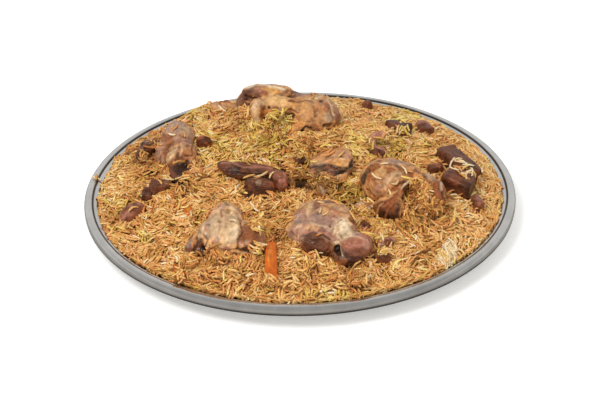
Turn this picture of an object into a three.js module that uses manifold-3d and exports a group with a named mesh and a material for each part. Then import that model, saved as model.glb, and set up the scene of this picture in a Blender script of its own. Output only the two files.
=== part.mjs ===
// A round steel tray heaped with meat kabuli pulao: spiced rice, joints of lamb on the bone, cubes of meat
// and strips of carrot. Millimetres, +Z up. The origin is the centre of the tray's underside, and the side
// that the diner sees first faces -Y.
import * as THREE from "three";
import { mergeVertices } from "three/addons/utils/BufferGeometryUtils.js";
import Module from "manifold-3d";

// Driving dimensions, in millimetres.
const TRAY_RADIUS = 225; // to the outside of the rolled rim
const TRAY_HEIGHT = 28; // from the table to the top of the rim
const TRAY_SHEET = 1.2; // thickness of the pressed steel
const RIM_BAND = 8.6; // width of the raised band round the edge
const RIM_LIP = 8.8; // how far the rim turns down outside
const RIM_GROOVE = 1.6; // width of the crease inside the band
const FLOOR_RADIUS = 188; // flat part of the tray's floor
const TRAY_SEGMENTS = 44;

const RICE_RADIUS = 207.5; // where the rice meets the tray's sloping side
const RICE_EDGE_WANDER = 2; // how unevenly it meets it
const RICE_EDGE_WAVES = 2.2; // how fast that changes round the edge
const RICE_EDGE_HEIGHT = 25.5; // height of the rice where it meets the side
const RICE_DOME = 40; // how far the middle of the heap stands above its edge
const RICE_BACK_LEAN = 0.12; // share by which the heap is fuller at the back
const RICE_CLUMP = { height: 3.2, width: 27 }; // lumps of rice that hold together
const RICE_BUMP = { height: 1.5, width: 8 }; // relief of single grains
const RICE_FADE = 18; // width of the margin where the relief dies out
const RICE_MOUND = { at: [-98, 168], height: 9, width: 34 }; // rice piled against the rim at the back left
const RICE_BANK_WIDTH = 17; // how far out the rice is banked up against the large pieces
const RICE_RINGS = 15;
const RICE_RING_POINTS = 6; // points that each ring has more than the one inside it
const RICE_SIDE_POINTS = 3 * RICE_RINGS; // points in a ring on the tray's side

const GAP = 0.35; // clearance between any two pieces
const RICE_TRAY_GAP = 1; // more than the sag of the tray's facets
const MEAT_LUMP_WIDTH = 13; // spacing of the lumps on a piece of meat
const BLOCK_WEAR = 0.13; // share by which the corners of a cut block are drawn in
const BLOCK_EDGE_LOOP = 0.74; // where its faces start to round over, as a share of half its width
const STRIP_TAPER = 0.25; // share by which a strip of carrot narrows to its far end
const MERGE_DISTANCE = 1e-3;

const COLOURS = {
  steel: 0xa9a9a9,
  rice: 0xcf9f63,
  roast: 0xb07a4e, // browned outside
  mauve: 0x946a57, // boiled lean meat under its skin
  pale: 0xb39a7c, // fatty skin
  dark: 0x4f2a1e, // lean meat, fried dark
  liver: 0x70382a,
  gristle: 0x97836b,
  carrot: 0xd2691e,
};

const wasm = await Module();
wasm.setup();

// Noise

const LATTICE_STEPS = [374761393, 668265263, 1442695041];
const SCRAMBLE = 1274126177;

// A repeatable number from 0 to 1 for a point of a whole-number lattice.
function latticeValue(...cell) {
  let hash = cell.reduce((sum, c, axis) => (sum + Math.imul(c, LATTICE_STEPS[axis])) | 0, 0);
  hash = Math.imul(hash ^ (hash >>> 13), SCRAMBLE);
  return ((hash ^ (hash >>> 16)) >>> 0) / 2 ** 32;
}

// Smooth noise from -1 to 1 at a point, with features one unit wide.
function noise(...point) {
  const cell = point.map(Math.floor);
  const ease = point.map((c, axis) => c - cell[axis]).map((t) => t * t * (3 - 2 * t));
  let sum = 0;
  for (let corner = 0; corner < 8; corner++) {
    const step = [corner & 1, (corner >> 1) & 1, corner >> 2];
    const weight = ease.reduce((product, e, axis) => product * (step[axis] ? e : 1 - e), 1);
    sum += weight * latticeValue(...cell.map((c, axis) => c + step[axis]));
  }
  return sum * 2 - 1;
}

// Solids and meshes

// A closed three.js geometry as a solid.
function solidOf(geometry) {
  const bare = new THREE.BufferGeometry();
  bare.setAttribute("position", geometry.getAttribute("position"));
  bare.setIndex(geometry.index);
  const merged = mergeVertices(bare, MERGE_DISTANCE);
  const vertProperties = merged.getAttribute("position").array;
  const triVerts = new Uint32Array(merged.index.array);
  return new wasm.Manifold(new wasm.Mesh({ numProp: 3, vertProperties, triVerts }));
}

// The largest body of a solid, without the crumbs that a cut may leave.
function largestBody(solid) {
  return solid.decompose().reduce((best, body) => (body.volume() > best.volume() ? body : best));
}

// A named mesh of a solid, in its own material.
function meshOf(name, solid, material) {
  const { vertProperties, triVerts } = solid.getMesh();
  const geometry = new THREE.BufferGeometry();
  geometry.setAttribute("position", new THREE.BufferAttribute(new Float32Array(vertProperties), 3));
  geometry.setIndex(new THREE.BufferAttribute(new Uint32Array(triVerts), 1));
  geometry.computeVertexNormals();
  const mesh = new THREE.Mesh(geometry, material);
  mesh.name = name;
  return mesh;
}

function foodMaterial(colour, roughness = 0.5) {
  return new THREE.MeshStandardMaterial({ color: COLOURS[colour], roughness, metalness: 0 });
}

// Turns a geometry about X, then Y, then Z, in degrees, and moves it.
function place(geometry, at, turn = [0, 0, 0]) {
  const angles = turn.map(THREE.MathUtils.degToRad);
  geometry.applyMatrix4(new THREE.Matrix4().makeRotationFromEuler(new THREE.Euler(...angles, "ZYX")));
  return geometry.translate(...at);
}

// The tray

const GROOVE_RADIUS = TRAY_RADIUS - RIM_BAND; // outer edge of the crease
const SIDE_TOP_RADIUS = GROOVE_RADIUS - RIM_GROOVE; // top of the sloping side
const SIDE_TOP = TRAY_HEIGHT - 1.7;
const SIDE_BEND_RADIUS = 206; // where the side turns flatter
const SIDE_BEND = 20.5;

// Inside of the tray, from the middle of the floor to the crease, as [radius, height].
const TRAY_INSIDE = [
  [0, TRAY_SHEET],
  [FLOOR_RADIUS, TRAY_SHEET],
  [FLOOR_RADIUS + 6, TRAY_SHEET + 3],
  [SIDE_BEND_RADIUS, SIDE_BEND],
  [SIDE_TOP_RADIUS, SIDE_TOP],
];

const RIM = [
  [SIDE_TOP_RADIUS + RIM_GROOVE / 2, SIDE_TOP - 0.7],
  [GROOVE_RADIUS, SIDE_TOP - 0.5],
  [GROOVE_RADIUS + 0.8, TRAY_HEIGHT - 0.5],
  [GROOVE_RADIUS + 2.6, TRAY_HEIGHT],
  [TRAY_RADIUS - 3, TRAY_HEIGHT - 0.4],
  [TRAY_RADIUS - 0.8, TRAY_HEIGHT - 2.2],
  [TRAY_RADIUS, TRAY_HEIGHT - 4.6],
  [TRAY_RADIUS - 0.5, TRAY_HEIGHT - RIM_LIP],
];

const TRAY_UNDERSIDE = [
  [TRAY_RADIUS - 0.5 - TRAY_SHEET, TRAY_HEIGHT - RIM_LIP],
  [TRAY_RADIUS - 1.3 - TRAY_SHEET, TRAY_HEIGHT - 3.6],
  [TRAY_RADIUS - 5, TRAY_HEIGHT - 1.8],
  [GROOVE_RADIUS + 1.4, TRAY_HEIGHT - 2.6],
  [GROOVE_RADIUS - 1.2, SIDE_TOP - 2.2],
  [SIDE_BEND_RADIUS + 1.1, SIDE_BEND - 1.3],
  [FLOOR_RADIUS + 6.8, TRAY_SHEET + 0.2],
  [FLOOR_RADIUS + 3, 0],
  [0, 0],
];

// Height of the tray's inside at a radius.
function trayInside(radius) {
  const next = TRAY_INSIDE.findIndex(([r]) => r > radius);
  if (next < 0) return SIDE_TOP;
  const [[r0, z0], [r1, z1]] = TRAY_INSIDE.slice(next - 1, next + 1);
  return THREE.MathUtils.mapLinear(radius, r0, r1, z0, z1);
}

// The tray, turned from its profile, which runs from the underside outwards and back along the inside.
function tray() {
  const outline = [...TRAY_INSIDE, ...RIM, ...TRAY_UNDERSIDE].reverse();
  const profile = outline.map(([radius, height]) => new THREE.Vector2(radius, height));
  const geometry = new THREE.LatheGeometry(profile, TRAY_SEGMENTS).rotateX(Math.PI / 2);
  const steel = new THREE.MeshStandardMaterial({ color: COLOURS.steel, roughness: 0.3, metalness: 1 });
  return meshOf("tray", solidOf(geometry), steel);
}

// The rice

// Height of the heap without its relief.
function riceDome(x, y) {
  const share = Math.min(1, (x * x + y * y) / RICE_RADIUS ** 2);
  const lean = 1 + (RICE_BACK_LEAN * y) / RICE_RADIUS;
  const away = Math.hypot(x - RICE_MOUND.at[0], y - RICE_MOUND.at[1]);
  const mound = Math.exp(-((away / RICE_MOUND.width) ** 2));
  return RICE_EDGE_HEIGHT + RICE_DOME * (1 - share) * lean + RICE_MOUND.height * mound;
}

// How high the rice is banked up at a point against the pieces that have a bank, full under their lobes.
function riceBank(x, y) {
  let highest = 0;
  for (const { at, bank, lobes } of PIECES.filter((piece) => piece.bank)) {
    for (const { at: offset = [0, 0, 0], size } of lobes) {
      const [across, along] = [x - at[0] - offset[0], y - at[1] - offset[1]];
      const away = Math.hypot((2 * across) / size[0], (2 * along) / size[1]) - 1;
      const outside = (Math.max(0, away) * Math.min(size[0], size[1])) / 2;
      highest = Math.max(highest, bank * Math.exp(-((outside / RICE_BANK_WIDTH) ** 2)));
    }
  }
  return highest;
}

// Height of the heap with its banks, clumps and grains.
function riceTop(x, y) {
  const inward = RICE_RADIUS - Math.hypot(x, y);
  const strength = THREE.MathUtils.clamp(inward / RICE_FADE, 0, 1);
  const [clump, bump] = [RICE_CLUMP, RICE_BUMP].map(({ height, width }) => {
    return height * noise(x / width, y / width, width);
  });
  return riceDome(x, y) + strength * (riceBank(x, y) + clump + bump);
}

// Where the rice meets the tray's side, at an angle round the heap.
function riceEdge(angle) {
  const [x, y] = [Math.cos(angle), Math.sin(angle)].map((c) => RICE_EDGE_WAVES * c);
  return RICE_RADIUS + RICE_EDGE_WANDER * noise(x, y, RICE_EDGE_WAVES);
}

// A ring of points: how many, their radius and height at an angle. Returns their numbers in the list.
function addRing(points, count, radiusAt, heightAt) {
  const ring = [];
  for (let i = 0; i < count; i++) {
    const angle = (i / count) * 2 * Math.PI;
    const [x, y] = [Math.cos(angle), Math.sin(angle)].map((c) => c * radiusAt(angle));
    ring.push(points.length);
    points.push([x, y, heightAt(x, y)]);
  }
  return ring;
}

// Faces between two closed rings of points, by always stepping along the ring that is behind.
function stitch(outer, inner) {
  const faces = [];
  let [o, i] = [0, 0];
  while (o < outer.length || i < inner.length) {
    const here = [outer[o % outer.length], inner[i % inner.length]];
    if ((o + 1) / outer.length <= (i + 1) / inner.length) {
      faces.push([here[0], outer[(o + 1) % outer.length], here[1]]);
      o++;
    } else {
      faces.push([here[0], inner[(i + 1) % inner.length], here[1]]);
      i++;
    }
  }
  return faces;
}

// The whole heap: rings over the top, each with more points, then two that follow the tray down to its floor.
function riceHeap() {
  const points = [[0, 0, riceTop(0, 0)]];
  const faces = [];
  let ring = [0];
  for (let step = 1; step <= RICE_RINGS; step++) {
    const radiusAt = (angle) => (riceEdge(angle) * step) / RICE_RINGS;
    const heightAt = (x, y) => Math.max(riceTop(x, y), trayInside(Math.hypot(x, y)) + RICE_TRAY_GAP);
    const wider = addRing(points, RICE_RING_POINTS * step, radiusAt, heightAt);
    faces.push(...stitch(wider, ring));
    ring = wider;
  }
  for (const radius of [SIDE_BEND_RADIUS, FLOOR_RADIUS - 1]) {
    const height = trayInside(radius) + RICE_TRAY_GAP;
    const lower = addRing(points, RICE_SIDE_POINTS, () => radius, () => height);
    faces.push(...stitch(ring, lower).map((face) => face.reverse()));
    ring = lower;
  }
  points.push([0, 0, TRAY_SHEET + RICE_TRAY_GAP]);
  faces.push(...stitch(ring, [points.length - 1]).map((face) => face.reverse()));
  const geometry = new THREE.BufferGeometry();
  geometry.setAttribute("position", new THREE.Float32BufferAttribute(points.flat(), 3));
  geometry.setIndex(faces.filter((face) => new Set(face).size === 3).flat());
  return solidOf(geometry);
}

// The meat and the carrot

// One rounded lump of a piece: size is its full width, depth and height, square runs from 2 for an egg shape
// to 4 for a boxy one, and lumps is the height of its relief. Grow makes it larger all round.
function lobe({ at = [0, 0, 0], size, turn, square = 2, lumps = 1.5, detail = 1 }, centre, grow) {
  const geometry = new THREE.IcosahedronGeometry(1, detail);
  const position = geometry.getAttribute("position");
  const point = new THREE.Vector3();
  for (let i = 0; i < position.count; i++) {
    point.fromBufferAttribute(position, i).normalize();
    const reach = point.toArray().reduce((sum, c) => sum + Math.abs(c) ** square, 0) ** (-1 / square);
    const spot = point.toArray().map((c, axis) => (c * size[axis]) / 2 + centre[axis] + at[axis]);
    const relief = lumps * noise(...spot.map((c) => c / MEAT_LUMP_WIDTH));
    const radii = size.map((full) => reach * (full / 2 + grow + relief));
    point.multiply(new THREE.Vector3(...radii));
    position.setXYZ(i, ...point);
  }
  return solidOf(place(geometry, at, turn).translate(...centre));
}

// A block of meat as it was cut: flat faces, worn edges and corners that are all a little different. Cuts is
// the number of steps across a face, 2 or 3, and lean is how far its corners stray, in millimetres.
function block({ at = [0, 0, 0], size, turn, cuts = 2, lean = 2.5 }, centre, grow) {
  const geometry = new THREE.BoxGeometry(2, 2, 2, cuts, cuts, cuts);
  const position = geometry.getAttribute("position");
  for (let i = 0; i < position.count; i++) {
    const unit = new THREE.Vector3().fromBufferAttribute(position, i).toArray();
    const outer = unit.filter((c) => Math.abs(c) > 0.99).length;
    const worn = 1 - (BLOCK_WEAR * (outer - 1)) / 2;
    const spread = unit.map((c) => (Math.abs(c) > 0.99 || cuts === 2 ? c : Math.sign(c) * BLOCK_EDGE_LOOP));
    const spot = spread.map((c, axis) => (c * size[axis]) / 2 + centre[axis] + at[axis]);
    const stray = [0, 1, 2].map((axis) => lean * noise(...spot.map((c) => c / MEAT_LUMP_WIDTH + 7 * axis)));
    position.setXYZ(i, ...spread.map((c, axis) => c * worn * (size[axis] / 2 + grow) + stray[axis]));
  }
  return solidOf(place(geometry, at, turn).translate(...centre));
}

// A flat strip cut from a carrot, narrower at one end and bent along its length.
function strip({ size: [width, length, thickness], turn, bend = 0.2 }, centre, grow) {
  const full = [width, length, thickness].map((side) => side + 2 * grow);
  const geometry = new THREE.BoxGeometry(...full, 1, 6, 1);
  const position = geometry.getAttribute("position");
  for (let i = 0; i < position.count; i++) {
    const along = (2 * position.getY(i)) / full[1];
    const taper = 1 - STRIP_TAPER * Math.max(0, along);
    const sag = bend * width * along ** 2;
    position.setXYZ(i, position.getX(i) * taper, position.getY(i), position.getZ(i) - sag);
  }
  return solidOf(place(geometry, centre, turn));
}

// A slice curled up on itself, like a scroll that is open between the two angles of its curl.
function scroll({ size: [width, length, thickness], turn, curl }, centre, grow) {
  const [outer, inner] = [width / 2 + grow, width / 2 - thickness - grow];
  const spare = grow / inner;
  const [from, to] = curl.map(THREE.MathUtils.degToRad);
  const depth = length + 2 * grow;
  const outline = new THREE.Shape();
  outline.absarc(0, 0, outer, from - spare, to + spare, false);
  outline.absarc(0, 0, inner, to + spare, from - spare, true);
  const geometry = new THREE.ExtrudeGeometry(outline, { depth, bevelEnabled: false, curveSegments: 8 });
  return solidOf(place(geometry.translate(0, 0, -depth / 2), centre, turn));
}

// Each piece: at is its centre in plan, and lift the height of that centre above the rice under it. A large
// piece may have a bank, the height to which loose rice is heaped against it. It is a union of lobes and
// blocks, less its hollows, or one strip or scroll.
const PIECES = [
  {
    name: "top_joint",
    colour: "roast",
    at: [-8, 64],
    lift: 25,
    bank: 7,
    lobes: [
      { at: [23, 0, -6], size: [60, 62, 37], turn: [0, 12, 8], lumps: 3, detail: 2 },
      { at: [-8, 12, -6], size: [72, 52, 38], turn: [0, -4, 0], lumps: 2 },
      { at: [-24, 6, 18], size: [58, 32, 10], turn: [0, 5, 10], lumps: 1 },
      { at: [-34, -15, -4], size: [25, 19, 56], turn: [8, -4, 0], lumps: 2.5 },
      { at: [-15, -9, 10], size: [54, 24, 20], turn: [0, 4, 0], lumps: 2.5 },
      { at: [-44, 4, 7], size: [30, 36, 24], turn: [0, -20, 0], lumps: 3 },
      { at: [-1, -24, -14], size: [22, 18, 22] },
    ],
    hollows: [{ at: [-11, -26, -9], size: [24, 34, 22] }],
  },
  {
    name: "flank_slab",
    colour: "roast",
    at: [32, -34],
    lift: 9,
    bank: 1,
    lobes: [
      { at: [1, 4, 2], size: [48, 46, 19], turn: [14, -14, 0], square: 2.6 },
      { at: [-1, -12, -5], size: [40, 26, 18], turn: [0, -12, 0], lumps: 2 },
    ],
  },
  {
    name: "gristle_knob",
    colour: "gristle",
    at: [22, -70],
    lift: 5,
    lobes: [{ size: [14, 13, 13], lumps: 0.6 }],
  },
  {
    name: "left_shank",
    colour: "mauve",
    at: [-127, 42],
    lift: 11,
    bank: 2.5,
    lobes: [
      { at: [-2, 20, -6], size: [38, 54, 40], lumps: 2 },
      { at: [4, -22, -4], size: [32, 56, 32], turn: [-6, 0, 0], square: 2.4, lumps: 2 },
      { at: [-14, -6, -8], size: [24, 48, 24], lumps: 3 },
      { at: [5, -54, -9], size: [26, 30, 22] },
    ],
  },
  {
    name: "left_fibrous_piece",
    colour: "dark",
    at: [-162, 54],
    lift: 7,
    lobes: [{ size: [20, 62, 20], turn: [-8, 0, -14], lumps: 3 }],
  },
  {
    name: "left_dark_chunk",
    colour: "dark",
    at: [-143, -33],
    lift: 4,
    blocks: [{ size: [18, 17, 15], turn: [0, 12, 20] }],
  },
  {
    name: "left_dark_sliver",
    colour: "dark",
    at: [-155, -40],
    lift: 3,
    blocks: [{ size: [10, 17, 11], turn: [0, 0, -12], lean: 1.5 }],
  },
  {
    name: "left_liver_piece",
    colour: "liver",
    at: [-170, -62],
    lift: 4,
    lobes: [{ size: [29, 17, 16], turn: [0, -10, 40], square: 2.4, lumps: 1 }],
  },
  {
    name: "left_dark_cube",
    colour: "dark",
    at: [-100, 40],
    lift: 4,
    blocks: [{ size: [13, 13, 13], turn: [10, 0, 30], lean: 1.5 }],
  },
  {
    name: "centre_fillet",
    colour: "dark",
    at: [-50, -42],
    lift: 12,
    bank: 5,
    lobes: [
      { size: [54, 20, 13], turn: [0, 4, -3], square: 2.6, lumps: 2 },
      { at: [-21, 8, 0], size: [28, 16, 9], turn: [0, 12, -24], lumps: 1 },
    ],
  },
  {
    name: "centre_block",
    colour: "dark",
    at: [-40, -68],
    lift: 5,
    blocks: [{ size: [31, 23, 22], turn: [-18, 6, -12], cuts: 3 }],
  },
  {
    name: "centre_pink_piece",
    colour: "mauve",
    at: [-20, -61],
    lift: 8,
    lobes: [{ size: [14, 20, 23], turn: [12, 0, 18], square: 2.6 }],
  },
  {
    name: "centre_dark_bit",
    colour: "dark",
    at: [2, -16],
    lift: 1,
    blocks: [{ size: [10, 10, 8], turn: [0, 0, 20], lean: 1 }],
  },
  {
    name: "front_left_joint",
    colour: "pale",
    at: [-77, -132],
    lift: 13,
    bank: 7,
    lobes: [
      { at: [0, -9, -1], size: [50, 50, 38], turn: [10, 0, 6], square: 2.2, lumps: 2.5, detail: 2 },
      { at: [4, 20, 2], size: [37, 48, 30], turn: [8, 0, -8], lumps: 2 },
      { at: [-24, -12, -11], size: [24, 46, 24], turn: [0, 10, -14], lumps: 3 },
      { at: [26, -6, -3], size: [33, 46, 28], turn: [0, 10, 10], square: 2.6, lumps: 3 },
      { at: [4, -27, -11], size: [33, 22, 18], lumps: 3 },
      { at: [2, 45, 3], size: [13, 23, 12], turn: [-12, 0, -10], lumps: 1, detail: 0 },
    ],
  },
  {
    name: "front_centre_joint",
    colour: "mauve",
    at: [28, -138],
    lift: 13,
    bank: 5,
    lobes: [
      { at: [-6, 8, 1], size: [64, 62, 35], turn: [14, 4, -10], square: 2.4, lumps: 2, detail: 2 },
      { at: [-12, -17, -4], size: [35, 28, 23], turn: [0, 10, -16], square: 2.3, lumps: 1 },
      { at: [26, -17, -5], size: [34, 30, 23], turn: [0, 8, 12], square: 2.3, lumps: 1 },
      { at: [17, -28, -12], size: [30, 26, 20], lumps: 2 },
      { at: [-31, 8, -5], size: [22, 44, 26], turn: [0, -18, 10], lumps: 2 },
    ],
  },
  {
    name: "front_rear_lump",
    colour: "pale",
    at: [60, -97],
    lift: 2,
    lobes: [{ size: [21, 19, 11], turn: [0, 0, 10], lumps: 2 }],
  },
  {
    name: "front_dark_bit",
    colour: "dark",
    at: [62, -120],
    lift: 1,
    blocks: [{ size: [12, 10, 8], turn: [0, 0, -20], lean: 1.5 }],
  },
  {
    name: "right_joint",
    colour: "roast",
    at: [103, -68],
    lift: 16,
    bank: 5,
    lobes: [
      { at: [-11, 6, 2], size: [66, 62, 41], turn: [8, 8, -8], lumps: 2.5, detail: 2 },
      { at: [23, -10, -3], size: [39, 47, 37], turn: [6, 12, 10], lumps: 3 },
      { at: [-15, -28, -8], size: [31, 26, 26], turn: [0, 0, -12], square: 2.4 },
    ],
    hollows: [{ at: [9, -20, 2], size: [19, 36, 24], turn: [-30, 0, 0], lumps: 1 }],
  },
  {
    name: "right_rear_block",
    colour: "dark",
    at: [166, 11],
    lift: 3,
    blocks: [{ size: [24, 53, 22], turn: [8, 12, 34], cuts: 3 }],
  },
  {
    name: "right_front_block",
    colour: "dark",
    at: [161, -34],
    lift: 6,
    blocks: [{ size: [31, 29, 26], turn: [-12, 14, -24], cuts: 3 }],
  },
  {
    name: "right_meat_wedge",
    colour: "dark",
    at: [142, -7],
    lift: 4,
    blocks: [{ size: [15, 11, 10], turn: [0, 0, 24], lean: 1.5 }],
  },
  {
    name: "right_small_piece",
    colour: "liver",
    at: [179, -55],
    lift: 4,
    blocks: [{ size: [12, 17, 12], turn: [0, 16, 20], lean: 2 }],
  },
  {
    name: "back_cube_inner",
    colour: "dark",
    at: [101, 80],
    lift: 4,
    blocks: [{ size: [13, 14, 12], turn: [0, 10, 20], lean: 2 }],
  },
  {
    name: "back_cube_middle",
    colour: "dark",
    at: [113, 69],
    lift: 4,
    blocks: [{ size: [15, 16, 14], turn: [8, 0, -14], lean: 2 }],
  },
  {
    name: "back_cube_outer",
    colour: "dark",
    at: [137, 93],
    lift: 4,
    blocks: [{ size: [17, 18, 15], turn: [0, 12, 8], lean: 2.5 }],
  },
  {
    name: "back_scroll",
    colour: "mauve",
    at: [84, 28],
    lift: 6,
    scroll: { size: [23, 18, 6.5], turn: [58, 0, 8], curl: [50, 300] },
  },
  {
    name: "back_dark_bit",
    colour: "dark",
    at: [80, 10],
    lift: 1,
    lobes: [{ size: [18, 12, 9], turn: [0, 0, -12], square: 3, lumps: 1, detail: 0 }],
  },
  {
    name: "back_left_lump",
    colour: "roast",
    at: [-83, 134],
    lift: 5,
    lobes: [
      { size: [40, 34, 18], turn: [0, 6, 16], lumps: 3 },
      { at: [15, -14, 1], size: [22, 24, 13], lumps: 2 },
    ],
  },
  {
    name: "back_right_crumb",
    colour: "liver",
    at: [78, 160],
    lift: 3,
    lobes: [{ size: [11, 14, 12], lumps: 2, detail: 0 }],
  },
  {
    name: "front_right_shred",
    colour: "mauve",
    at: [79, -139],
    lift: 3,
    lobes: [{ size: [28, 14, 9], turn: [0, -8, 10], lumps: 2 }],
  },
  {
    name: "front_right_bit",
    colour: "liver",
    at: [78, -159],
    lift: 2,
    blocks: [{ size: [12, 11, 10], turn: [0, 0, 15], lean: 1.5 }],
  },
  {
    name: "front_low_shred",
    colour: "mauve",
    at: [54, -184],
    lift: 1.5,
    lobes: [{ size: [24, 26, 9], turn: [0, 0, -25], lumps: 2 }],
  },
  {
    name: "carrot_front",
    colour: "carrot",
    at: [-29, -170],
    lift: 6,
    strip: { size: [11.5, 46, 5.5], turn: [22, 8, 3] },
  },
  {
    name: "carrot_left",
    colour: "carrot",
    at: [-112, -82],
    lift: 4,
    strip: { size: [8, 17, 5], turn: [24, 10, 22] },
  },
  {
    name: "carrot_left_curl",
    colour: "carrot",
    at: [-126, -68],
    lift: 3,
    strip: { size: [8, 22, 3], turn: [0, 10, 74], bend: 0.5 },
  },
  {
    name: "carrot_front_left",
    colour: "carrot",
    at: [-118, -165],
    lift: 2,
    strip: { size: [9, 20, 3], turn: [12, 0, 16] },
  },
];

// A piece as a solid. Grown, it is what its neighbours are cut back by, and then it has no hollows.
function pieceSolid(piece, grow) {
  const under = riceDome(...piece.at) + (piece.bank ? 0 : riceBank(...piece.at));
  const centre = [...piece.at, under + piece.lift];
  if (piece.strip) return strip(piece.strip, centre, grow);
  if (piece.scroll) return scroll(piece.scroll, centre, grow);
  const parts = [
    ...(piece.lobes ?? []).map((part) => lobe(part, centre, grow)),
    ...(piece.blocks ?? []).map((part) => block(part, centre, grow)),
  ];
  const whole = parts.reduce((all, part) => all.add(part));
  if (grow > 0 || !piece.hollows) return whole;
  return piece.hollows.reduce((rest, hollow) => rest.subtract(lobe(hollow, centre, 0)), whole);
}

// The whole plate. Each piece is cut back by those before it, and the rice by them all.
const plate = new THREE.Group();
plate.add(tray());
let taken = new wasm.Manifold(new wasm.Mesh({ numProp: 3 }));
for (const piece of PIECES) {
  const solid = largestBody(pieceSolid(piece, 0).subtract(taken));
  plate.add(meshOf(piece.name, solid, foodMaterial(piece.colour)));
  taken = taken.add(pieceSolid(piece, GAP));
}
plate.add(meshOf("rice", largestBody(riceHeap().subtract(taken)), foodMaterial("rice", 0.6)));

export default plate;
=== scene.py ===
"""A round steel tray heaped with meat kabuli pulao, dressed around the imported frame.

Lengths in the classes are in millimetres, in the row frame: +Z is up and the diner sits towards -Y. Places
on the food are given as points of the 600 by 400 picture that the camera takes, and are cast back onto what
carries them.
"""

import logging
import math
from dataclasses import dataclass, field
from enum import Enum

import bmesh
import bpy
import numpy as np
from bmesh.types import BMesh
from bpy.types import Collection, Material, Mesh, Node, NodeSocket, NodeTree, Object
from mathutils import Matrix, Vector
from mathutils.bvhtree import BVHTree


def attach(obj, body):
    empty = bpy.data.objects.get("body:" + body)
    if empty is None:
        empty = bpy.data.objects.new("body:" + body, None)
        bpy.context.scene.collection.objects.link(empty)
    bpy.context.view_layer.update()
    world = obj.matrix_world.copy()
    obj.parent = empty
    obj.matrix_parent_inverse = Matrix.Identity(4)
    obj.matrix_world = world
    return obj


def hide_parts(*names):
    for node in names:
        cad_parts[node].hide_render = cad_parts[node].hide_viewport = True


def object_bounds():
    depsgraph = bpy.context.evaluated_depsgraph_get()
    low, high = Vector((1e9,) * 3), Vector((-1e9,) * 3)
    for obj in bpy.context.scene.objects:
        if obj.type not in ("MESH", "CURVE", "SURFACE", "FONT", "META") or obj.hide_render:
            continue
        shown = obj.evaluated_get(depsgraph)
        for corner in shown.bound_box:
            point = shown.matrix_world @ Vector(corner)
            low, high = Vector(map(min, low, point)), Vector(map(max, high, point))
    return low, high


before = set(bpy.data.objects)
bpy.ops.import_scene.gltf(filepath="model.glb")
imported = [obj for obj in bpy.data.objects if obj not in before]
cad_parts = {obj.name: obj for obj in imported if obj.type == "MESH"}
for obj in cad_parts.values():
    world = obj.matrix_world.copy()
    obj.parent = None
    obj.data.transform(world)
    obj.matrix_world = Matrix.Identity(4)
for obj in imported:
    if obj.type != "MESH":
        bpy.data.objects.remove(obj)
CAD_BOX = [list(corner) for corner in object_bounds()]

LOG = logging.getLogger("plate")
MM = 0.001
SEED = 417
TURN = 2 * math.pi
Point = tuple[float, float]
Colour = tuple[float, float, float]

# Rays fall from above the plate, the lift turns normals upwards, and the level factor drops a place's height
ABOVE = 200.0
DOWN = Vector((0, 0, -1))
LIFT = np.array([0, 0, 0.6])
LEVEL = np.array([1, 1, 0])


# Numbers and noise


def linear(code: str) -> Colour:
    """Turns a six-digit screen colour into linear light.

    Args:
        code: The colour, such as "c08a50".

    Returns:
        Red, green and blue from 0 to 1.
    """
    shares = [int(code[i : i + 2], 16) / 255 for i in (0, 2, 4)]
    return tuple(s / 12.92 if s <= 0.04045 else ((s + 0.055) / 1.055) ** 2.4 for s in shares)


def lattice(cells: np.ndarray, seed: int) -> np.ndarray:
    """Repeatable numbers for the points of a whole-number lattice.

    Args:
        cells: Lattice points, three unsigned whole numbers each.
        seed: Which of many such sets of numbers.

    Returns:
        A number from 0 to 1 for each point.
    """
    steps = np.array([374761393, 668265263, 2654435761], np.uint32)
    mixed = (cells * steps).sum(axis=1, dtype=np.uint32) + np.uint32(seed * 97531)
    mixed = (mixed ^ (mixed >> np.uint32(13))) * np.uint32(1274126177)
    return (mixed ^ (mixed >> np.uint32(16))) / 2**32


def noise(points: np.ndarray, width: float, seed: int = 0) -> np.ndarray:
    """Smooth noise.

    Args:
        points: Places in millimetres, three numbers each.
        width: Size of one lump.
        seed: Which of many such patterns.

    Returns:
        A number from -1 to 1 for each place.
    """
    scaled = points / width
    cell = np.floor(scaled)
    share = scaled - cell
    ease = share * share * (3 - 2 * share)
    cell = cell.astype(np.int64).astype(np.uint32)
    total = np.zeros(len(points))
    for corner in range(8):
        step = np.array([corner & 1, corner >> 1 & 1, corner >> 2], np.uint32)
        weight = np.prod(np.where(step, ease, 1 - ease), axis=1)
        total += weight * lattice(cell + step, seed)
    return total * 2 - 1


def rough(points: np.ndarray, width: float, seed: int = 0, octaves: int = 3) -> np.ndarray:
    """Noise with ever finer detail.

    Args:
        points: Places in millimetres.
        width: Size of the widest lumps.
        seed: Which of many such patterns.
        octaves: How many sizes of lump there are.

    Returns:
        A number of about -1 to 1 for each place.
    """
    total = np.zeros(len(points))
    for octave in range(octaves):
        total += noise(points, width / 2**octave, seed + octave) / 2**octave
    return total / 1.6


def step_between(low: float, high: float, values: np.ndarray) -> np.ndarray:
    """Rises smoothly from 0 at the low value to 1 at the high one."""
    share = np.clip((values - low) / (high - low), 0, 1)
    return share * share * (3 - 2 * share)


def unit(vectors: np.ndarray) -> np.ndarray:
    """Vectors of length one in the same directions."""
    return vectors / np.maximum(np.linalg.norm(vectors, axis=-1, keepdims=True), 1e-9)


def flattened(vectors: np.ndarray, normals: np.ndarray, share: float = 1) -> np.ndarray:
    """Vectors with a share of what points along their normals taken out."""
    return vectors - share * (vectors * normals).sum(axis=1, keepdims=True) * normals


# Meshes


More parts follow.
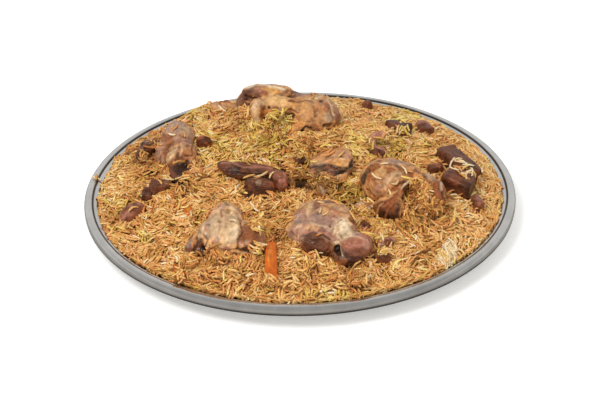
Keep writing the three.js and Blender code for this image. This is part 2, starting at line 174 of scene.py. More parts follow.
def merged_copy(node: str) -> BMesh:
    """A copy of a CAD node's mesh with its loose triangles joined.

    Args:
        node: The node's name.

    Returns:
        The copy, to be built on.
    """
    shape = bmesh.new()
    shape.from_mesh(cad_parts[node].data)
    bmesh.ops.remove_doubles(shape, verts=shape.verts, dist=1e-6)
    return shape


def mesh_of(shape: BMesh, name: str) -> Mesh:
    """Turns a shape that is being built into a mesh.

    Args:
        shape: The shape, which is freed.
        name: The mesh's name.

    Returns:
        The mesh.
    """
    mesh = bpy.data.meshes.new(name)
    shape.to_mesh(mesh)
    shape.free()
    return mesh


def new_object(name: str, mesh: Mesh) -> Object:
    """Puts a mesh in the scene under a name.

    Args:
        name: The object's name.
        mesh: Its mesh.

    Returns:
        The object.
    """
    piece = bpy.data.objects.new(name, mesh)
    bpy.context.scene.collection.objects.link(piece)
    return piece


def applied(piece: Object) -> Mesh:
    """Applies a piece's modifiers.

    Args:
        piece: The piece, with its modifiers.

    Returns:
        Its new mesh.
    """
    graph = bpy.context.evaluated_depsgraph_get()
    mesh = bpy.data.meshes.new_from_object(piece.evaluated_get(graph))
    piece.modifiers.clear()
    piece.data = mesh
    return mesh


def points_of(mesh: Mesh) -> np.ndarray:
    """The places of a mesh's points, in millimetres.

    Args:
        mesh: The mesh.

    Returns:
        Three numbers a point.
    """
    flat = np.empty(len(mesh.vertices) * 3, np.float32)
    mesh.vertices.foreach_get("co", flat)
    return flat.reshape(-1, 3).astype(float) / MM


def set_points(mesh: Mesh, points: np.ndarray) -> None:
    """Moves a mesh's points to places in millimetres."""
    mesh.vertices.foreach_set("co", (points * MM).astype(np.float32).ravel())
    mesh.update()


def normals_of(mesh: Mesh) -> np.ndarray:
    """The outward direction at each point of a mesh.

    Args:
        mesh: The mesh.

    Returns:
        Three numbers a point, of length one together.
    """
    flat = np.empty(len(mesh.vertices) * 3, np.float32)
    mesh.vertex_normals.foreach_get("vector", flat)
    return flat.reshape(-1, 3).astype(float)


def store(mesh: Mesh, name: str, values: np.ndarray) -> None:
    """Keeps values on a mesh's points, for its material to read.

    Args:
        mesh: The mesh.
        name: The attribute's name.
        values: One number a point, or three for a colour or a place.
    """
    if values.ndim == 1:
        attribute = mesh.attributes.new(name, "FLOAT", "POINT")
        attribute.data.foreach_set("value", values.astype(np.float32))
        return
    if name == "strand":
        attribute = mesh.attributes.new(name, "FLOAT_VECTOR", "POINT")
        attribute.data.foreach_set("vector", values.astype(np.float32).ravel())
        return
    attribute = mesh.attributes.new(name, "FLOAT_COLOR", "POINT")
    filled = np.concatenate([values, np.ones((len(values), 1))], axis=1)
    attribute.data.foreach_set("color", filled.astype(np.float32).ravel())


def spread_to_neighbours(mesh: Mesh, points: np.ndarray) -> np.ndarray:
    """The middle of each point's neighbours, in millimetres.

    Args:
        mesh: The mesh, for its edges.
        points: Where its points are taken to be, in millimetres.

    Returns:
        The middles.
    """
    ends = np.empty(len(mesh.edges) * 2, np.int32)
    mesh.edges.foreach_get("vertices", ends)
    ends = ends.reshape(-1, 2)
    pairs = np.concatenate([ends, ends[:, ::-1]])
    count = np.maximum(np.bincount(pairs[:, 0], minlength=len(points)), 1)
    sums = [np.bincount(pairs[:, 0], part, len(points)) for part in points[pairs[:, 1]].T]
    return np.stack(sums, axis=1) / count[:, None]


def under_ceiling(points: np.ndarray, margin: float = 2.5) -> np.ndarray:
    """Eases places that come near the top of the CAD's box back under it.

    Args:
        points: Places in millimetres.
        margin: How far below the top the easing starts.

    Returns:
        The places.
    """
    eased = points.copy()
    start = CAD_BOX[1][2] / MM - margin
    over = np.maximum(points[:, 2] - start, 0)
    eased[:, 2] = np.where(over > 0, start + margin * (1 - np.exp(-over / margin)), points[:, 2])
    return eased


def tree_of(meshes: list[Mesh]) -> BVHTree:
    """One search tree, in millimetres, over the faces of several meshes.

    Args:
        meshes: The meshes.

    Returns:
        The tree.
    """
    points: list[list[float]] = []
    faces: list[tuple[int, ...]] = []
    for mesh in meshes:
        start = len(points)
        points += points_of(mesh).tolist()
        faces += [tuple(start + v for v in face.vertices) for face in mesh.polygons]
    return BVHTree.FromPolygons(points, faces)


# The camera's view


@dataclass(frozen=True)
class View:
    """The camera, fitted to the tray's outline.

    Its height is in degrees above the table, its distance in millimetres, and its focal length and centre
    are in points of a picture 600 wide and 400 high.
    """

    elevation: float = 30.81
    distance: float = 1800.0
    focal: float = 1704.8
    centre: Point = (300.16, 210.95)
    roll: float = 1.17
    size: Point = (600, 400)

    def eye(self) -> np.ndarray:
        """Where the camera stands."""
        height = math.radians(self.elevation)
        return self.distance * np.array([0, -math.cos(height), math.sin(height)])

    def axes(self) -> np.ndarray:
        """Directions to the picture's right, to its top and into it.

        Returns:
            Three rows, each of length one.
        """
        forward = -self.eye() / self.distance
        right = np.array([1.0, 0, 0])
        up = np.cross(right, forward)
        cosine, sine = math.cos(math.radians(self.roll)), math.sin(math.radians(self.roll))
        return np.stack([cosine * right - sine * up, sine * right + cosine * up, forward])

    def project(self, points: np.ndarray) -> np.ndarray:
        """Where places show in the picture.

        Args:
            points: Places in millimetres.

        Returns:
            Two numbers each, from the picture's top left corner.
        """
        across, up, depth = ((points - self.eye()) @ self.axes().T).T
        x = self.centre[0] + self.focal * across / depth
        return np.stack([x, self.centre[1] - self.focal * up / depth], axis=1)

    def ray(self, at: Point) -> Vector:
        """The direction from the camera through a point of the picture.

        Args:
            at: The point.

        Returns:
            The direction, of length one.
        """
        right, up, forward = self.axes()
        across, rise = at[0] - self.centre[0], self.centre[1] - at[1]
        return Vector(forward + right * across / self.focal + up * rise / self.focal).normalized()

    def make_camera(self) -> None:
        """Builds the camera and makes it the scene's own."""
        lens = bpy.data.cameras.new("camera")
        lens.sensor_width = 36
        lens.lens = self.focal * lens.sensor_width / self.size[0]
        lens.shift_x = (self.size[0] / 2 - self.centre[0]) / self.size[0]
        lens.shift_y = (self.centre[1] - self.size[1] / 2) / self.size[0]
        camera = bpy.data.objects.new("camera", lens)
        right, up, forward = self.axes()
        turn = Matrix([right, up, -forward]).transposed().to_4x4()
        camera.matrix_world = Matrix.Translation(Vector(self.eye() * MM)) @ turn
        bpy.context.scene.collection.objects.link(camera)
        bpy.context.scene.camera = camera


@dataclass(frozen=True)
class Spot:
    """An oval of the picture: its middle, half its width and height, and its turn anticlockwise."""

    at: Point
    reach: Point
    turn: float = 0

    def distance(self, picture: np.ndarray) -> np.ndarray:
        """How far points of the picture lie from the middle: 1 on the oval's edge.

        Args:
            picture: The points.

        Returns:
            A number for each.
        """
        angle = math.radians(self.turn)
        away = picture - np.array(self.at)
        along = away[:, 0] * math.cos(angle) - away[:, 1] * math.sin(angle)
        across = away[:, 0] * math.sin(angle) + away[:, 1] * math.cos(angle)
        return np.hypot(along / self.reach[0], across / self.reach[1])

    def random_points(self, chance: np.random.Generator, count: int) -> list[Point]:
        """Points strewn evenly over the oval.

        Args:
            chance: What draws the points.
            count: How many.

        Returns:
            The points.
        """
        radius = np.sqrt(chance.random(count))
        angle = TURN * chance.random(count)
        along = radius * np.cos(angle) * self.reach[0]
        across = radius * np.sin(angle) * self.reach[1]
        turn = math.radians(self.turn)
        x = self.at[0] + along * math.cos(turn) + across * math.sin(turn)
        y = self.at[1] - along * math.sin(turn) + across * math.cos(turn)
        return list(zip(x.tolist(), y.tolist()))


VIEW = View()


# Shared shader effects


Value = float | tuple | NodeSocket | None


def feed(tree: NodeTree, socket: NodeSocket, value: Value) -> None:
    """Gives an input its value.

    Args:
        tree: The tree that it is in.
        socket: The input.
        value: A constant, a socket to link from, or None to leave it alone.
    """
    if isinstance(value, NodeSocket):
        tree.links.new(value, socket)
    elif value is not None:
        socket.default_value = value


def new_group(name: str, inputs: dict[str, Value], outputs: tuple[str, str]) -> NodeTree:
    """Starts a shader node group.

    Args:
        name: The group's name.
        inputs: Each input's usual value: four numbers for a colour, one for a number, None for a place.
        outputs: The names of the outputs: "Color" is a colour, and any other is a number.

    Returns:
        The group, with its two end nodes named "in" and "out".
    """
    group = bpy.data.node_groups.new(name, "ShaderNodeTree")
    kinds = {tuple: "NodeSocketColor", float: "NodeSocketFloat", type(None): "NodeSocketVector"}
    for label, value in inputs.items():
        socket = group.interface.new_socket(name=label, in_out="INPUT", socket_type=kinds[type(value)])
        if value is not None:
            socket.default_value = value
    for label in outputs:
        kind = "NodeSocketColor" if label == "Color" else "NodeSocketFloat"
        group.interface.new_socket(name=label, in_out="OUTPUT", socket_type=kind)
    group.nodes.new("NodeGroupInput").name = "in"
    group.nodes.new("NodeGroupOutput").name = "out"
    return group


def put_out(group: NodeTree, *values: NodeSocket) -> NodeTree:
    """Links a group's outputs, in their order, and gives the group back.

    Args:
        group: The group.
        values: The sockets to link from.

    Returns:
        The group.
    """
    for socket, value in zip(group.nodes["out"].inputs, values):
        feed(group, socket, value)
    return group


def add_node(tree: NodeTree, kind: str, *inputs: Value, **settings: object) -> Node:
    """Adds a node.

    Args:
        tree: The material's or group's tree.
        kind: The node's type, without the words "ShaderNode".
        inputs: Values for its inputs, in their order.
        settings: Its settings by name.

    Returns:
        The node.
    """
    node = tree.nodes.new("ShaderNode" + kind)
    for name, setting in settings.items():
        setattr(node, name, setting)
    for socket, value in zip(node.inputs, inputs):
        feed(tree, socket, value)
    return node


def remap(tree: NodeTree, value: Value, *ends: Value) -> NodeSocket:
    """Spreads values from a low and a high end to 0 and 1, or to two other ends."""
    return add_node(tree, "MapRange", value, *ends).outputs[0]


def calculate(tree: NodeTree, operation: str, *values: Value) -> NodeSocket:
    """Works out a number from one, two or three values."""
    return add_node(tree, "Math", *values, operation=operation).outputs[0]


def scaled(tree: NodeTree, colour: Value, factor: Value) -> NodeSocket:
    """Makes a colour darker or lighter by a factor."""
    return add_node(tree, "VectorMath", colour, None, None, factor, operation="SCALE").outputs[0]


def blend(tree: NodeTree, share: Value, first: Value | str, second: Value | str) -> NodeSocket:
    """Mixes two colours.

    Args:
        tree: The tree to work in.
        share: How much of the second colour shows.
        first: A socket, or the colour's six digits.
        second: Likewise.

    Returns:
        The mixed colour.
    """
    node = add_node(tree, "Mix", share, data_type="RGBA")
    for socket, colour in zip(node.inputs[6:8], (first, second)):
        feed(tree, socket, (*linear(colour), 1) if isinstance(colour, str) else colour)
    return node.outputs[2]


def attribute(tree: NodeTree, name: str, kind: str = "Fac") -> NodeSocket:
    """Reads what was stored on the mesh under a name, as a number, a colour or a vector."""
    return add_node(tree, "Attribute", attribute_name=name).outputs[kind]


class SharedEffects:
    """The node groups that more than one material uses."""

    def __init__(self) -> None:
        """Builds every group once."""
        self.mottle = self._mottle()
        self.strands = self._strands()
        self.film = self._film()

    @staticmethod
    def _cloud(
        group: NodeTree, place: Value, scale: Value, detail: float, low: float, high: float
    ) -> NodeSocket:
        """Noise spread out so that it reaches 0 and 1.

        Args:
            group: The group to work in.
            place: Where the noise is read.
            scale: How fine it is.
            detail: How many finer layers it has.
            low: The noise that becomes 0.
            high: The noise that becomes 1.

        Returns:
            The spread noise.
        """
        cloud = add_node(group, "TexNoise", place, None, scale)
        cloud.inputs["Detail"].default_value = detail
        return remap(group, cloud.outputs["Fac"], low, high)

    def _mottle(self) -> NodeTree:
        """Uneven colour: a surface that is darker and lighter in soft patches.

        Returns:
            The group.
        """
        grey = (0.5, 0.5, 0.5, 1)
        usual = {"Color": grey, "Vector": None, "Scale": 300.0, "Amount": 0.3}
        group = new_group("mottle", usual, ("Color", "Mask"))
        colour, place, scale, amount = group.nodes["in"].outputs[:4]
        cloud = self._cloud(group, place, scale, 4, 0.3, 0.7)
        low = calculate(group, "SUBTRACT", 1.0, amount)
        high = calculate(group, "MULTIPLY_ADD", amount, 0.5, 1.0)
        factor = remap(group, cloud, None, None, low, high)
        return put_out(group, scaled(group, colour, factor), cloud)

    def _strands(self) -> NodeTree:
        """Fine strands along the grain of meat, carrot or brushed steel, as a mask and a height.

        Returns:
            The group.
        """
        group = new_group("strands", {"Vector": None, "Scale": 900.0, "Depth": 1.0}, ("Height", "Mask"))
        place, scale, depth = group.nodes["in"].outputs[:3]
        mask = self._cloud(group, place, scale, 3, 0.35, 0.65)
        return put_out(group, calculate(group, "MULTIPLY", mask, depth), mask)

    def _film(self) -> NodeTree:
        """A film of oil or broth that is wetter in some places, as a roughness.

        Returns:
            The group.
        """
        usual = {"Vector": None, "Scale": 120.0, "Wet": 0.25, "Dry": 0.55}
        group = new_group("film", usual, ("Roughness", "Mask"))
        place, scale, wet, dry = group.nodes["in"].outputs[:4]
        mask = self._cloud(group, place, scale, 2, 0.35, 0.65)
        return put_out(group, remap(group, mask, None, None, wet, dry), mask)


def use_group(tree: NodeTree, group: NodeTree, **values: Value) -> Node:
    """Places a node group in a material.

    Args:
        tree: The material's tree.
        group: The group.
        values: Its inputs by name.

    Returns:
        The group's node.
    """
    node = tree.nodes.new("ShaderNodeGroup")
    node.node_tree = group
    for name, value in values.items():
        feed(tree, node.inputs[name], value)
    return node


@dataclass
class NewMaterial:
    """A material that is being built, with its Principled shader."""

    name: str

    def __post_init__(self) -> None:
        """Makes the material and keeps its parts."""
        self.material = bpy.data.materials.new(self.name)
        self.material.use_nodes = True
        self.tree = self.material.node_tree
        self.shader = self.tree.nodes["Principled BSDF"]

    def place(self) -> NodeSocket:
        """The place on the object."""
        return add_node(self.tree, "TexCoord").outputs["Object"]

    def shade(self, colour: Value, roughness: Value, others: dict[str, Value]) -> None:
        """Sets the shader's inputs.

        Args:
            colour: The base colour.
            roughness: The roughness.
            others: Values for other inputs by name.
        """
        for name, value in {"Base Color": colour, "Roughness": roughness, **others}.items():
            feed(self.tree, self.shader.inputs[name], value)

    def bump(self, height: NodeSocket, depth: float) -> Material:
        """Adds the relief of a height.

        Args:
            height: The height, from 0 to 1.
            depth: How deep its full range is, in millimetres.

        Returns:
            The material, which is then complete.
        """
        bump = self.tree.nodes.new("ShaderNodeBump")
        bump.inputs["Strength"].default_value = 1
        bump.inputs["Distance"].default_value = depth * MM
        self.tree.links.new(height, bump.inputs["Height"])
        self.tree.links.new(bump.outputs[0], self.shader.inputs["Normal"])
        return self.material


# Finishes


@dataclass(frozen=True)
class SteelFinish:
    """Pressed steel, brushed round and round, with oil dried in its crease and painted shade on the low part
    of its outer lip.

    Radii, heights and widths are in millimetres. The painted lip shade starts between the two radii and below
    the two heights.
    """

    colour: str = "d6d4d0"
    oil: str = "3f2a12"
    lip_shade: str = "5c5a56"
    roughness: float = 0.17
    crease: float = 216.1
    crease_width: float = 1.1
    lip_shade_radius: Point = (223.5, 224.2)
    lip_shade_height: Point = (20.6, 22.8)
    brushing: float = 1500
    relief: float = 0.012

    def material(self, effects: SharedEffects) -> Material:
        """Builds the material.

        Args:
            effects: The shared effects.

        Returns:
            The material.
        """
        steel = NewMaterial("steel")
        tree, place = steel.tree, steel.place()
        flat = add_node(tree, "VectorMath", place, (1, 1, 0), operation="MULTIPLY").outputs[0]
        radius = add_node(tree, "VectorMath", flat, operation="LENGTH").outputs["Value"]
        rings = add_node(tree, "CombineXYZ", radius).outputs[0]
        brushed = use_group(tree, effects.strands, Vector=rings, Scale=self.brushing, Depth=1.0)
        wet, dry = self.roughness - 0.05, self.roughness + 0.1
        smear = use_group(tree, effects.film, Vector=place, Scale=30.0, Wet=wet, Dry=dry)
        away = calculate(tree, "ABSOLUTE", calculate(tree, "SUBTRACT", radius, self.crease * MM))
        edge = self.crease_width * MM
        near = remap(tree, away, 0.6 * edge, 1.3 * edge, 1.0, 0.0)
        oiled = blend(tree, near, self.colour, self.oil)
        height = add_node(tree, "SeparateXYZ", place).outputs[2]
        low = remap(tree, height, self.lip_shade_height[0] * MM, self.lip_shade_height[1] * MM, 1.0, 0.0)
        outer = remap(tree, radius, self.lip_shade_radius[0] * MM, self.lip_shade_radius[1] * MM)
        # painted shade: the rim's underside shadow, darkening the lowest part of the outer lip
        rolled = blend(tree, calculate(tree, "MULTIPLY", low, outer), oiled, self.lip_shade)
        tinted = use_group(tree, effects.mottle, Color=rolled, Vector=place, Scale=60.0, Amount=0.12)
        bare = calculate(tree, "SUBTRACT", 1.0, near)
        steel.shade(tinted.outputs[0], smear.outputs["Roughness"], {"Metallic": bare})
        return steel.bump(brushed.outputs["Height"], self.relief)


@dataclass(frozen=True)
class MeatFinish:
    """Cooked meat: its tissues are painted on the piece, with strands, mottling and a wet film over them."""

    slot: str
    mottle: float = 0.27
    strand_depth: float = 0.3
    strand_shade: Point = (0.86, 1.06)
    wet: float = 0.24
    dry: float = 0.5
    specular: float = 0.3
    glint: tuple[float, ...] = (1, 0.82, 0.66, 1)
    coat: float = 0.08
    coat_roughness: float = 0.12

    def material(self, effects: SharedEffects) -> Material:
        """Builds the material.

        Args:
            effects: The shared effects.

        Returns:
            The material.
        """
        meat = NewMaterial(self.slot)
        tree, place = meat.tree, meat.place()
        tissue, strand = attribute(tree, "tissue", "Color"), attribute(tree, "strand", "Vector")
        threads = use_group(tree, effects.strands, Vector=strand, Scale=0.55, Depth=1.0)
        mottled = use_group(tree, effects.mottle, Color=tissue, Vector=place, Scale=260.0, Amount=self.mottle)
        darker = remap(tree, threads.outputs["Mask"], None, None, *self.strand_shade)
        tinted = scaled(tree, mottled.outputs[0], darker)
        film = use_group(tree, effects.film, Vector=place, Scale=90.0, Wet=self.wet, Dry=self.dry)
        gloss = {"Specular IOR Level": self.specular, "Specular Tint": self.glint}
        coat = {"Coat Weight": self.coat, "Coat Roughness": self.coat_roughness}
        meat.shade(tinted, film.outputs["Roughness"], {**gloss, **coat})
        height = calculate(tree, "MULTIPLY_ADD", mottled.outputs["Mask"], 1.2, threads.outputs["Height"])
        return meat.bump(height, self.strand_depth)


@dataclass(frozen=True)
class RiceFinish:
    """One kind of grain: tints that differ from grain to grain, and a moist, slightly milky surface."""

    name: str
    dark: str
    middle: str
    light: str
    roughness: float = 0.42
    specular: float = 0.3
    glint: tuple[float, ...] = (1, 0.86, 0.7, 1)
    milky: float = 0.25
    glow_depth: float = 2.5
    glow: tuple[float, ...] = (1, 0.6, 0.35)

    def material(self, effects: SharedEffects) -> Material:
        """Builds the material.

        Args:
            effects: The shared effects.

        Returns:
            The material.
        """
        rice = NewMaterial(self.name)
        tree, place = rice.tree, rice.place()
        tints = add_node(tree, "ValToRGB", attribute(tree, "shade"))
        stops = tints.color_ramp.elements
        stops[0].color = (*linear(self.dark), 1)
        stops[1].color = (*linear(self.light), 1)
        stops.new(0.5).color = (*linear(self.middle), 1)
        spots = {"Color": tints.outputs[0], "Vector": place, "Scale": 420.0, "Amount": 0.14}
        mottled = use_group(tree, effects.mottle, **spots)
        wet, dry = self.roughness - 0.1, self.roughness + 0.1
        film = use_group(tree, effects.film, Vector=place, Scale=200.0, Wet=wet, Dry=dry)
        gloss = {"Specular IOR Level": self.specular, "Specular Tint": self.glint}
        glow = {"Subsurface Weight": self.milky, "Subsurface Radius": self.glow}
        glow["Subsurface Scale"] = self.glow_depth * MM
        rice.shade(mottled.outputs[0], film.outputs["Roughness"], {**gloss, **glow})
        return rice.bump(mottled.outputs["Mask"], 0.05)


@dataclass(frozen=True)
class PackedRiceFinish:
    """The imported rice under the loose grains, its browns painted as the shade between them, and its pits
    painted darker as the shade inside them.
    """

    dark: str = "8c5c2e"
    light: str = "b07c44"
    # painted shade inside the pits
    hole: str = "2c1206"
    roughness: float = 0.6
    specular: float = 0.2
    relief: float = 0.8

    def material(self, effects: SharedEffects) -> Material:
        """Builds the material.

        Args:
            effects: The shared effects.

        Returns:
            The material.
        """
        rice = NewMaterial("packed_rice")
        tree = rice.tree
        grains = use_group(tree, effects.strands, Vector=rice.place(), Scale=260.0, Depth=1.0)
        tint = blend(tree, grains.outputs["Mask"], self.dark, self.light)
        # painted shade: darker inside the pits
        holes = blend(tree, attribute(tree, "dark"), tint, self.hole)
        rice.shade(holes, self.roughness, {"Specular IOR Level": self.specular})
        return rice.bump(grains.outputs["Height"], self.relief)


@dataclass(frozen=True)
class CarrotFinish:
    """Cooked carrot: bright outside, paler along its core, with fine strands."""

    flesh: str = "bd5a10"
    core: str = "d89440"
    wet: float = 0.2
    dry: float = 0.38
    specular: float = 0.35
    relief: float = 0.15

    def material(self, effects: SharedEffects) -> Material:
        """Builds the material.

        Args:
            effects: The shared effects.

        Returns:
            The material.
        """
        carrot = NewMaterial("carrot")
        tree, place = carrot.tree, carrot.place()
        strand = attribute(tree, "strand", "Vector")
        threads = use_group(tree, effects.strands, Vector=strand, Scale=0.7, Depth=1.0)
        tint = blend(tree, attribute(tree, "core"), self.flesh, self.core)
        mottled = use_group(tree, effects.mottle, Color=tint, Vector=place, Scale=160.0, Amount=0.3)
        film = use_group(tree, effects.film, Vector=place, Scale=150.0, Wet=self.wet, Dry=self.dry)
        carrot.shade(mottled.outputs[0], film.outputs["Roughness"], {"Specular IOR Level": self.specular})
        return carrot.bump(threads.outputs["Height"], self.relief)


# The meat


class Tissue(Enum):
    """What shows on a piece of meat: its colour, and how stringy it is from 0 to 1."""

    LEAN = ("5f321c", 1.0)
    DARK = ("3a1c0e", 0.6)
    RED = ("924c28", 0.8)
    LIVER = ("784630", 0.2)
    BROWNED = ("c28955", 0.3)
    ORANGE = ("cc843f", 0.2)
    TAN = ("c08e5a", 0.2)
    CREST = ("e8d4b2", 0.1)
    CREAM = ("d2b48e", 0.1)
    PALE = ("bd9c74", 0.1)
    MAUVE = ("a37a61", 0.1)
    PINK = ("9c6350", 0.3)
    VIOLET = ("92776a", 0.1)
    GREY = ("aa8f70", 0.1)
    GRISTLE = ("8e6e50", 0.1)
    HONEY = ("cca068", 0.2)
    AMBER = ("d0944c", 0.3)
    RUST = ("864a1e", 0.6)
    OLIVE = ("8a6126", 0.5)
    # painted shade: BLACK darkens sunken dabs and seams in crevices, holes and under edges, and marks a few
    # dark bits
    BLACK = ("1c0d05", 0.4)

    @property
    def colour(self) -> np.ndarray:
        """The tissue's colour in linear light."""
        return np.array(linear(self.value[0]))

    @property
    def stringy(self) -> float:
        """How much of the meat's grain it shows."""
        return self.value[1]


(
    LEAN, DARK, RED, LIVER, BROWNED, ORANGE, TAN, CREST, CREAM, PALE,
    MAUVE, PINK, VIOLET, GREY, GRISTLE, HONEY, AMBER, RUST, OLIVE, BLACK,
) = Tissue


@dataclass(frozen=True)
class Dab:
    """A patch of tissue where the picture shows it.

    Rise is how far it stands out in millimetres, or sinks in below 0. Ragged is how uneven its outline is.
    """

    spot: Spot
    tissue: Tissue | None = None
    rise: float = 0
    strength: float = 1
    ragged: float = 0.35

    def mask(self, points: np.ndarray, picture: np.ndarray, facing: np.ndarray) -> np.ndarray:
        """How strongly the patch shows at each point of the piece, from 0 to 1.

        Args:
            points: Places in millimetres.
            picture: Where they show in the picture.
            facing: How far each faces the camera, from 0 to 1.

        Returns:
            The mask.
        """
        seed = int(7 * self.spot.at[0] + 3 * self.spot.at[1])
        shift = np.stack([rough(points, 8, seed, 2), rough(points, 8, seed + 9, 2)], axis=1)
        wander = min(1.8, 0.25 * max(self.spot.reach))
        edge = self.spot.distance(picture + wander * shift) + self.ragged * rough(points, 4, seed + 18)
        return (1 - step_between(0.55, 1.2, edge)) * facing


@dataclass(frozen=True)
class Seam:
    """A fold, streak or edge along points of the picture, as wide as half its width says."""

    through: tuple[Point, ...]
    width: float = 1.5
    tissue: Tissue | None = None
    rise: float = 0
    strength: float = 1

    def mask(self, points: np.ndarray, picture: np.ndarray, facing: np.ndarray) -> np.ndarray:
        """How strongly the seam shows at each point of the piece, from 0 to 1.

        Args:
            points: Places in millimetres.
            picture: Where they show in the picture.
            facing: How far each faces the camera, from 0 to 1.

        Returns:
            The mask.
        """
        wavy = picture + 0.8 * np.stack([rough(points, 6, 41, 2), rough(points, 6, 43, 2)], axis=1)
        nearest = np.full(len(points), 1e9)
        corners = [np.array(corner) for corner in self.through]
        for start, end in zip(corners, corners[1:]):
            along = end - start
            share = np.clip((wavy - start) @ along / (along @ along), 0, 1)
            nearest = np.minimum(nearest, np.linalg.norm(wavy - start - share[:, None] * along, axis=1))
        uneven = self.width * (1 + 0.5 * noise(points, 6, 47))
        return np.exp(-((nearest / uneven) ** 2)) * facing


@dataclass(frozen=True)
class Meat:
    """One piece of meat, dressed from its CAD node.

    Ground holds the tissues that it shows all over, in patches of the given size. Strand is the direction
    of its grain. A cut piece keeps its flat faces and edges. Lumps, threads and tears are the depths of its
    relief, and coarse is how pitted its surface is.
    """

    node: str
    slot: str
    ground: tuple[Tissue, ...]
    patch: float = 9
    strand: tuple[float, float, float] = (0, 1, 0)
    voxel: float = 0.95
    soften: int = 8
    cut: bool = False
    lumps: float = 1.1
    threads: float = 0.55
    tears: float = 1.2
    coarse: float = 1
    dabs: tuple[Dab, ...] = ()
    seams: tuple[Seam, ...] = ()

    def _body(self) -> Object:
        """The node's shape with its facets rounded, in faces of even size.

        Returns:
            The piece.
        """
        name = self.node + "_dressed"
        piece = new_object(name, mesh_of(merged_copy(self.node), name))
        if not self.cut:
            round_ = piece.modifiers.new("round", "SUBSURF")
            round_.levels = round_.render_levels = 1
        remesh = piece.modifiers.new("even", "REMESH")
        remesh.mode = "VOXEL"
        remesh.voxel_size = self.voxel * MM
        soften = piece.modifiers.new("soften", "SMOOTH")
        soften.iterations = 2 if self.cut else self.soften
        applied(piece)
        return piece

    def _grain(self, points: np.ndarray) -> np.ndarray:
        """Places drawn together along the meat's grain, so that noise there runs in strands.

        Args:
            points: Places in millimetres.

        Returns:
            The drawn places.
        """
        direction = unit(np.array(self.strand, float))
        along = points @ direction
        bent = points + 2.5 * np.stack([noise(points, 19, seed) for seed in (51, 52, 53)], axis=1)
        return bent - 0.82 * along[:, None] * direction

    def _torn(self, points: np.ndarray) -> np.ndarray:
        """Where the surface is torn open, from 0 to 1."""
        warped = points + 3 * np.stack([noise(points, 6, seed) for seed in (54, 55, 56)], axis=1)
        return step_between(0.3, 0.52, rough(warped, 9, 23, 2))

    def _tissues(self, points: np.ndarray, facing: np.ndarray) -> tuple[np.ndarray, np.ndarray]:
        """What tissue each point of the piece shows.

        Args:
            points: Places in millimetres.
            facing: How far each faces the camera, from 0 to 1.

        Returns:
            Its colour, and how stringy it is.
        """
        picture = VIEW.project(points)
        grain = self._grain(points)
        warped = points + 4 * np.stack([rough(points, 9, seed, 2) for seed in (61, 64, 67)], axis=1)
        colour = np.repeat(self.ground[0].colour[None], len(points), axis=0)
        stringy = np.full(len(points), self.ground[0].stringy)
        for index, tissue in enumerate(self.ground[1:]):
            spread = 0.6 * rough(warped, self.patch, 71 + 5 * index) + 0.4 * rough(grain, 7, 73 + 5 * index)
            share = step_between(-0.05, 0.3, spread)
            colour += share[:, None] * (tissue.colour - colour)
            stringy += share * (tissue.stringy - stringy)
        for feature in (*self.dabs, *self.seams):
            if feature.tissue:
                share = np.clip(feature.strength * feature.mask(points, picture, facing), 0, 1)
                colour += share[:, None] * (feature.tissue.colour - colour)
                stringy += share * (feature.tissue.stringy - stringy)
        return colour, stringy

    def _relief(self, points: np.ndarray, facing: np.ndarray, stringy: np.ndarray) -> np.ndarray:
        """How far each point moves out, in millimetres.

        Args:
            points: Places in millimetres.
            facing: How far each faces the camera, from 0 to 1.
            stringy: How stringy the tissue is there.

        Returns:
            The distances.
        """
        grain = self._grain(points)
        picture = VIEW.project(points)
        warped = points + 5 * np.stack([noise(points, 16, seed) for seed in (57, 58, 59)], axis=1)
        folds = 0.7 - 1.9 * np.abs(noise(warped, 17, 3))
        total = 0.5 + self.lumps * (folds + 1.0 * rough(warped, 9, 5, 2))
        bundles = 1 - 2 * np.abs(noise(grain, 6, 11))
        total += self.threads * (0.25 + stringy) * (0.7 * bundles + 0.6 * rough(grain, 2.6, 7, 2))
        uneven = self.coarse * (0.4 + np.minimum(stringy, 0.6))
        total += uneven * (1.1 * rough(points, 4.6, 17, 2) - self.tears * self._torn(points))
        for feature in (*self.dabs, *self.seams):
            if feature.rise:
                total += feature.rise * feature.mask(points, picture, facing)
        return total

    def _paint(self, mesh: Mesh, colour: np.ndarray, stringy: np.ndarray) -> None:
        """Stores the tissues' colours, shaded by the relief, and the grain on the mesh.

        The shading is painted shade: darker in the relief's hollows and torn pits, and paler on its ridges.

        Args:
            mesh: The piece's mesh.
            colour: The tissues' colours.
            stringy: How stringy the tissue is at each point.
        """
        points = points_of(mesh)
        grain = self._grain(points)
        # painted shade of the relief's hollows and ridges
        shading = self._hollow_shade(mesh, points)
        uneven = 0.3 + np.minimum(stringy, 0.7)
        streaks = 1 + (0.08 + 0.32 * stringy) * rough(grain, 3, 81, 2)
        clouds = 1 + uneven * (0.34 * rough(points, 5, 91, 2) + 0.16 * rough(grain, 5, 94, 2))
        # painted shade: torn pits are darkened
        torn = 1 - 0.5 * uneven * min(self.tears, 1) * self._torn(points)
        specks = 1 - 0.5 * uneven * step_between(0.42, 0.7, rough(points, 3.6, 101, 2))
        total = np.clip(streaks * shading * clouds * torn * specks, 0.12, 1.4)
        warmth = np.array([1.0, 1.08, 1.2])
        colour = colour * np.where(total < 1, total, 1)[:, None] ** warmth * np.maximum(total, 1)[:, None]
        store(mesh, "tissue", np.clip(colour, 0.004, 0.95))
        store(mesh, "strand", grain)

    @staticmethod
    def _hollow_shade(mesh: Mesh, points: np.ndarray) -> np.ndarray:
        """Darker in the hollows and paler on the ridges, both small and wide.

        Args:
            mesh: The piece's mesh.
            points: Its places in millimetres.

        Returns:
            A factor for each point.
        """
        normals = normals_of(mesh)
        smoothed = points
        shade = np.zeros(len(points))
        for step in range(16):
            smoothed = spread_to_neighbours(mesh, smoothed)
            if step == 3:
                shade -= 0.85 * ((smoothed - points) * normals).sum(axis=1)
        shade -= 0.34 * ((smoothed - points) * normals).sum(axis=1)
        return np.clip(np.exp(shade + 0.1), 0.4, 1.3)

